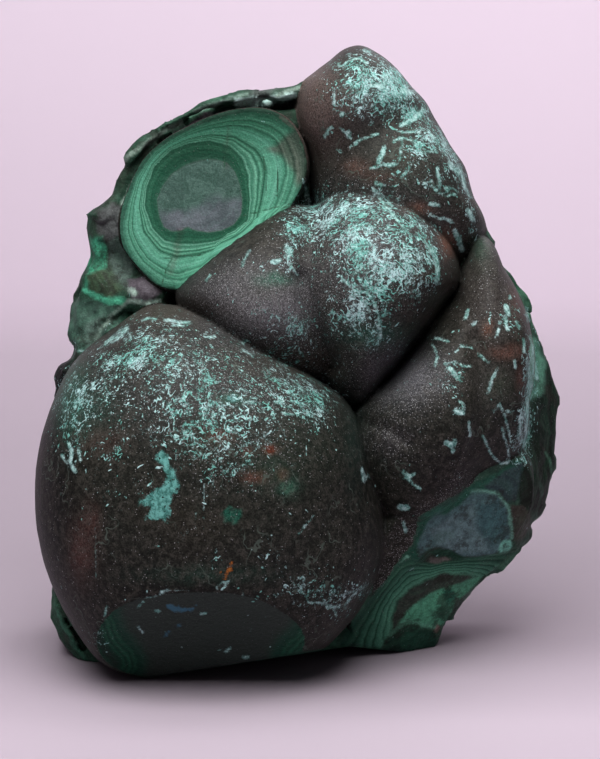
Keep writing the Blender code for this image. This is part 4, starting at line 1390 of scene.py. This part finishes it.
curls = times(step_up(midline(cloud(560.0, 1.0, 0.5, bent)), 0.052, 0.020), curl_gate)
powder = most(most(times(dots, 0.9), smear), most(hairs, drawn), curls)
powder = times(powder, scaled(fine, 0.7, 0.55))
powder_colour = two_tone(plus(broad, swing(fine, 1.2)), 0.35, 0.68, (108, 176, 164), (186, 218, 220))
stroke_colour = two_tone(medium, 0.4, 0.6, (112, 186, 170), (196, 224, 222))
powder_colour = mix(times(drawn, 0.5), powder_colour, stroke_colour)

# Painted druse glints under the dust; scab, rust, blue and the painted shade of the creases over it
# Painted glints: light specks in the colour, where the druse lies, stand in for its sparkle
glint_near, glint_chance, glint_size = cells(3400.0)
glints = times(
    calc("LESS_THAN", glint_chance, times(layer("druse"), 0.60)), step_up(glint_near, 0.5, 0.2),
    scaled(glint_size, 0.8, 0.2),
)
colour = painted(colour, times(glints, calc("SUBTRACT", 0.85, times(is_bare, 0.6))), (172, 172, 174))
colour = mix(calc("MINIMUM", powder, 1.0), colour, powder_colour)
scab = step_up(plus(layer("scabs"), swing(cloud(620.0, 6.0, 0.8), 17.0)), 0.8, -2.6)
scab = times(scab, step_up(cloud(1300.0, 2.0, 0.5), 0.30, 0.40))
scab_colour = two_tone(cloud(900.0, 4.0, 0.7), 0.38, 0.62, (54, 106, 98), (108, 172, 164))
colour = mix(times(scab, 0.88), colour, scab_colour)
edge_noise = swing(medium, 9.0)
rust_colour = two_tone(fine, 0.4, 0.6, (150, 88, 36), (96, 62, 36))
colour = mix(step_up(plus(layer("rust"), edge_noise), 0.8, -0.8), colour, rust_colour)
colour = painted(colour, times(step_up(plus(layer("blue"), edge_noise), 1.4, -1.2), 0.8), (56, 98, 116))
# Painted shade: near black along the creases between domes
colour = mix(times(step_up(layer("crease"), 0.9, 0.05), 0.7), colour, (0.009, 0.009, 0.008))

feed(shader.inputs["Base Color"], colour)
feed(shader.inputs["Roughness"], most(scaled(fine, 0.22, 0.36), times(powder, 0.8), times(is_bare, 0.52)))
feed(shader.inputs["Specular IOR Level"], 0.08)
height = plus(times(powder, 0.35), times(fine, 0.30), times(medium, is_bare, 1.4), times(glints, 0.5))
bump = feed_all(add("Bump"), Strength=0.55, Distance=0.0004, Height=height)
feed(shader.inputs["Normal"], bump.outputs["Normal"])
stone.data.materials.append(material)

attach(stone, "root")
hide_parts(NODE)

# ---- floor, light, camera ------------------------------------------------------------------------
FLOOR_REACH = 4.0
FLOOR_BEHIND = 0.55
COVE_RADIUS = 0.35
COVE_STEPS = 12
WALL_TOP = 1.4
FLOOR_TINT = (0.91, 0.83, 0.90)
FAR_FROM = 0.60
FAR_TO = 1.8
FAR_GLOW = 0.55
SKY_LIGHT = 0.06
# How pale the sweep is, by the distance behind the stone and by the height: painted shadow, darkest just
# behind the stone, and painted light, growing further back and up the wall
FLOOR_STOPS = (
    (-0.12, 0.49), (-0.05, 0.54), (-0.02, 0.46), (0.02, 0.34), (0.1, 0.33), (0.25, 0.39), (0.45, 0.5),
    (0.6, 0.66), (0.9, 0.84),
)
WALL_STOPS = ((0.0, 1.0), (0.05, 1.0), (0.20, 1.10), (0.40, 1.20))
# Lamps: name, place, the point it looks at, width, depth, power
LAMPS = (
    ("key", (-0.06, -0.26, 0.62), (0.0, 0.0, 0.08), 0.5, 0.5, 6.2),
    ("back", (0.35, 0.5, 0.6), (0.0, 0.0, 0.07), 0.5, 0.5, 1.6),
    ("wall", (0.12, 0.3, 1.1), (0.12, 0.9, 0.38), 1.3, 0.5, 8.6),
)

cove = [(-FLOOR_REACH, low.z), (FLOOR_BEHIND, low.z)]
for step in range(1, COVE_STEPS + 1):
    turn = math.radians(90 / COVE_STEPS * step)
    cove.append((FLOOR_BEHIND + COVE_RADIUS * math.sin(turn), low.z + COVE_RADIUS * (1 - math.cos(turn))))
cove.append((FLOOR_BEHIND + COVE_RADIUS, WALL_TOP))
cove_points = [(side, y, z) for y, z in cove for side in (-FLOOR_REACH, FLOOR_REACH)]
cove_faces = [(2 * k, 2 * k + 1, 2 * k + 3, 2 * k + 2) for k in range(len(cove) - 1)]
floor = mesh_object("floor", np.array(cove_points), np.array(cove_faces))
smooth(floor)

floor_material, floor_shader = new_material("floor")
sweep_place = add("TexCoord").outputs["Object"]
sweep = feed_all(add("SeparateXYZ"), Vector=sweep_place)
shades = []
for output, stops in (("Y", FLOOR_STOPS), ("Z", WALL_STOPS)):
    start, end = stops[0][0], stops[-1][0]
    where = step_up(sweep.outputs[output], start, end, kind="LINEAR")
    pale = [((at - start) / (end - start), [level * tint for tint in FLOOR_TINT]) for at, level in stops]
    shades.append(ramp(where, pale))
# Painted light: far from the stone the sweep glows for the camera alone, so that it stays as pale as near it,
# though the lamps don't reach there.
glow = step_up(vector_calc("LENGTH", sweep_place, output="Value"), FAR_FROM, FAR_TO, top=FAR_GLOW)
feed(floor_shader.inputs["Base Color"], tinted(*shades))
feed(floor_shader.inputs["Emission Color"], FLOOR_TINT)
feed(floor_shader.inputs["Emission Strength"], times(glow, add("LightPath").outputs["Is Camera Ray"]))
feed(floor_shader.inputs["Roughness"], 0.9)
floor.data.materials.append(floor_material)

world = bpy.context.scene.world or bpy.data.worlds.new("studio")
bpy.context.scene.world = world
world.use_nodes = True
tree = world.node_tree
sky = tree.nodes["Background"]
sky_seen = add("LightPath").outputs["Is Camera Ray"]
feed(sky.inputs["Color"], (0.98, 0.93, 1.0))
feed(sky.inputs["Strength"], step_up(sky_seen, 0.0, 1.0, SKY_LIGHT, FAR_GLOW, "LINEAR"))
bpy.context.scene.view_settings.view_transform = "Standard"


def aim(thing, at, toward):
    thing.location = at
    thing.rotation_euler = (Vector(toward) - Vector(at)).to_track_quat("-Z", "Y").to_euler()


for name, at, toward, width, depth, power in LAMPS:
    light = bpy.data.lights.new(name, "AREA")
    light.shape = "RECTANGLE"
    light.size = width
    light.size_y = depth
    light.energy = power
    aim(add_object(name, light), at, toward)

camera_data = bpy.data.cameras.new("camera")
camera_data.sensor_width = 36.0
camera_data.lens = SIGHT_DISTANCE * PIXELS_PER_UNIT / PHOTO_SIZE[1] * camera_data.sensor_width
camera = add_object("camera", camera_data)
bpy.context.scene.camera = camera
eye_point = upright(np.array([[0.0, SIGHT_HEIGHT, -SIGHT_DISTANCE]]))[0] * UNIT
aim_point = upright(np.array([[0.0, SIGHT_HEIGHT, 0.0]]))[0] * UNIT
aim(camera, eye_point, aim_point)
camera.location += shift
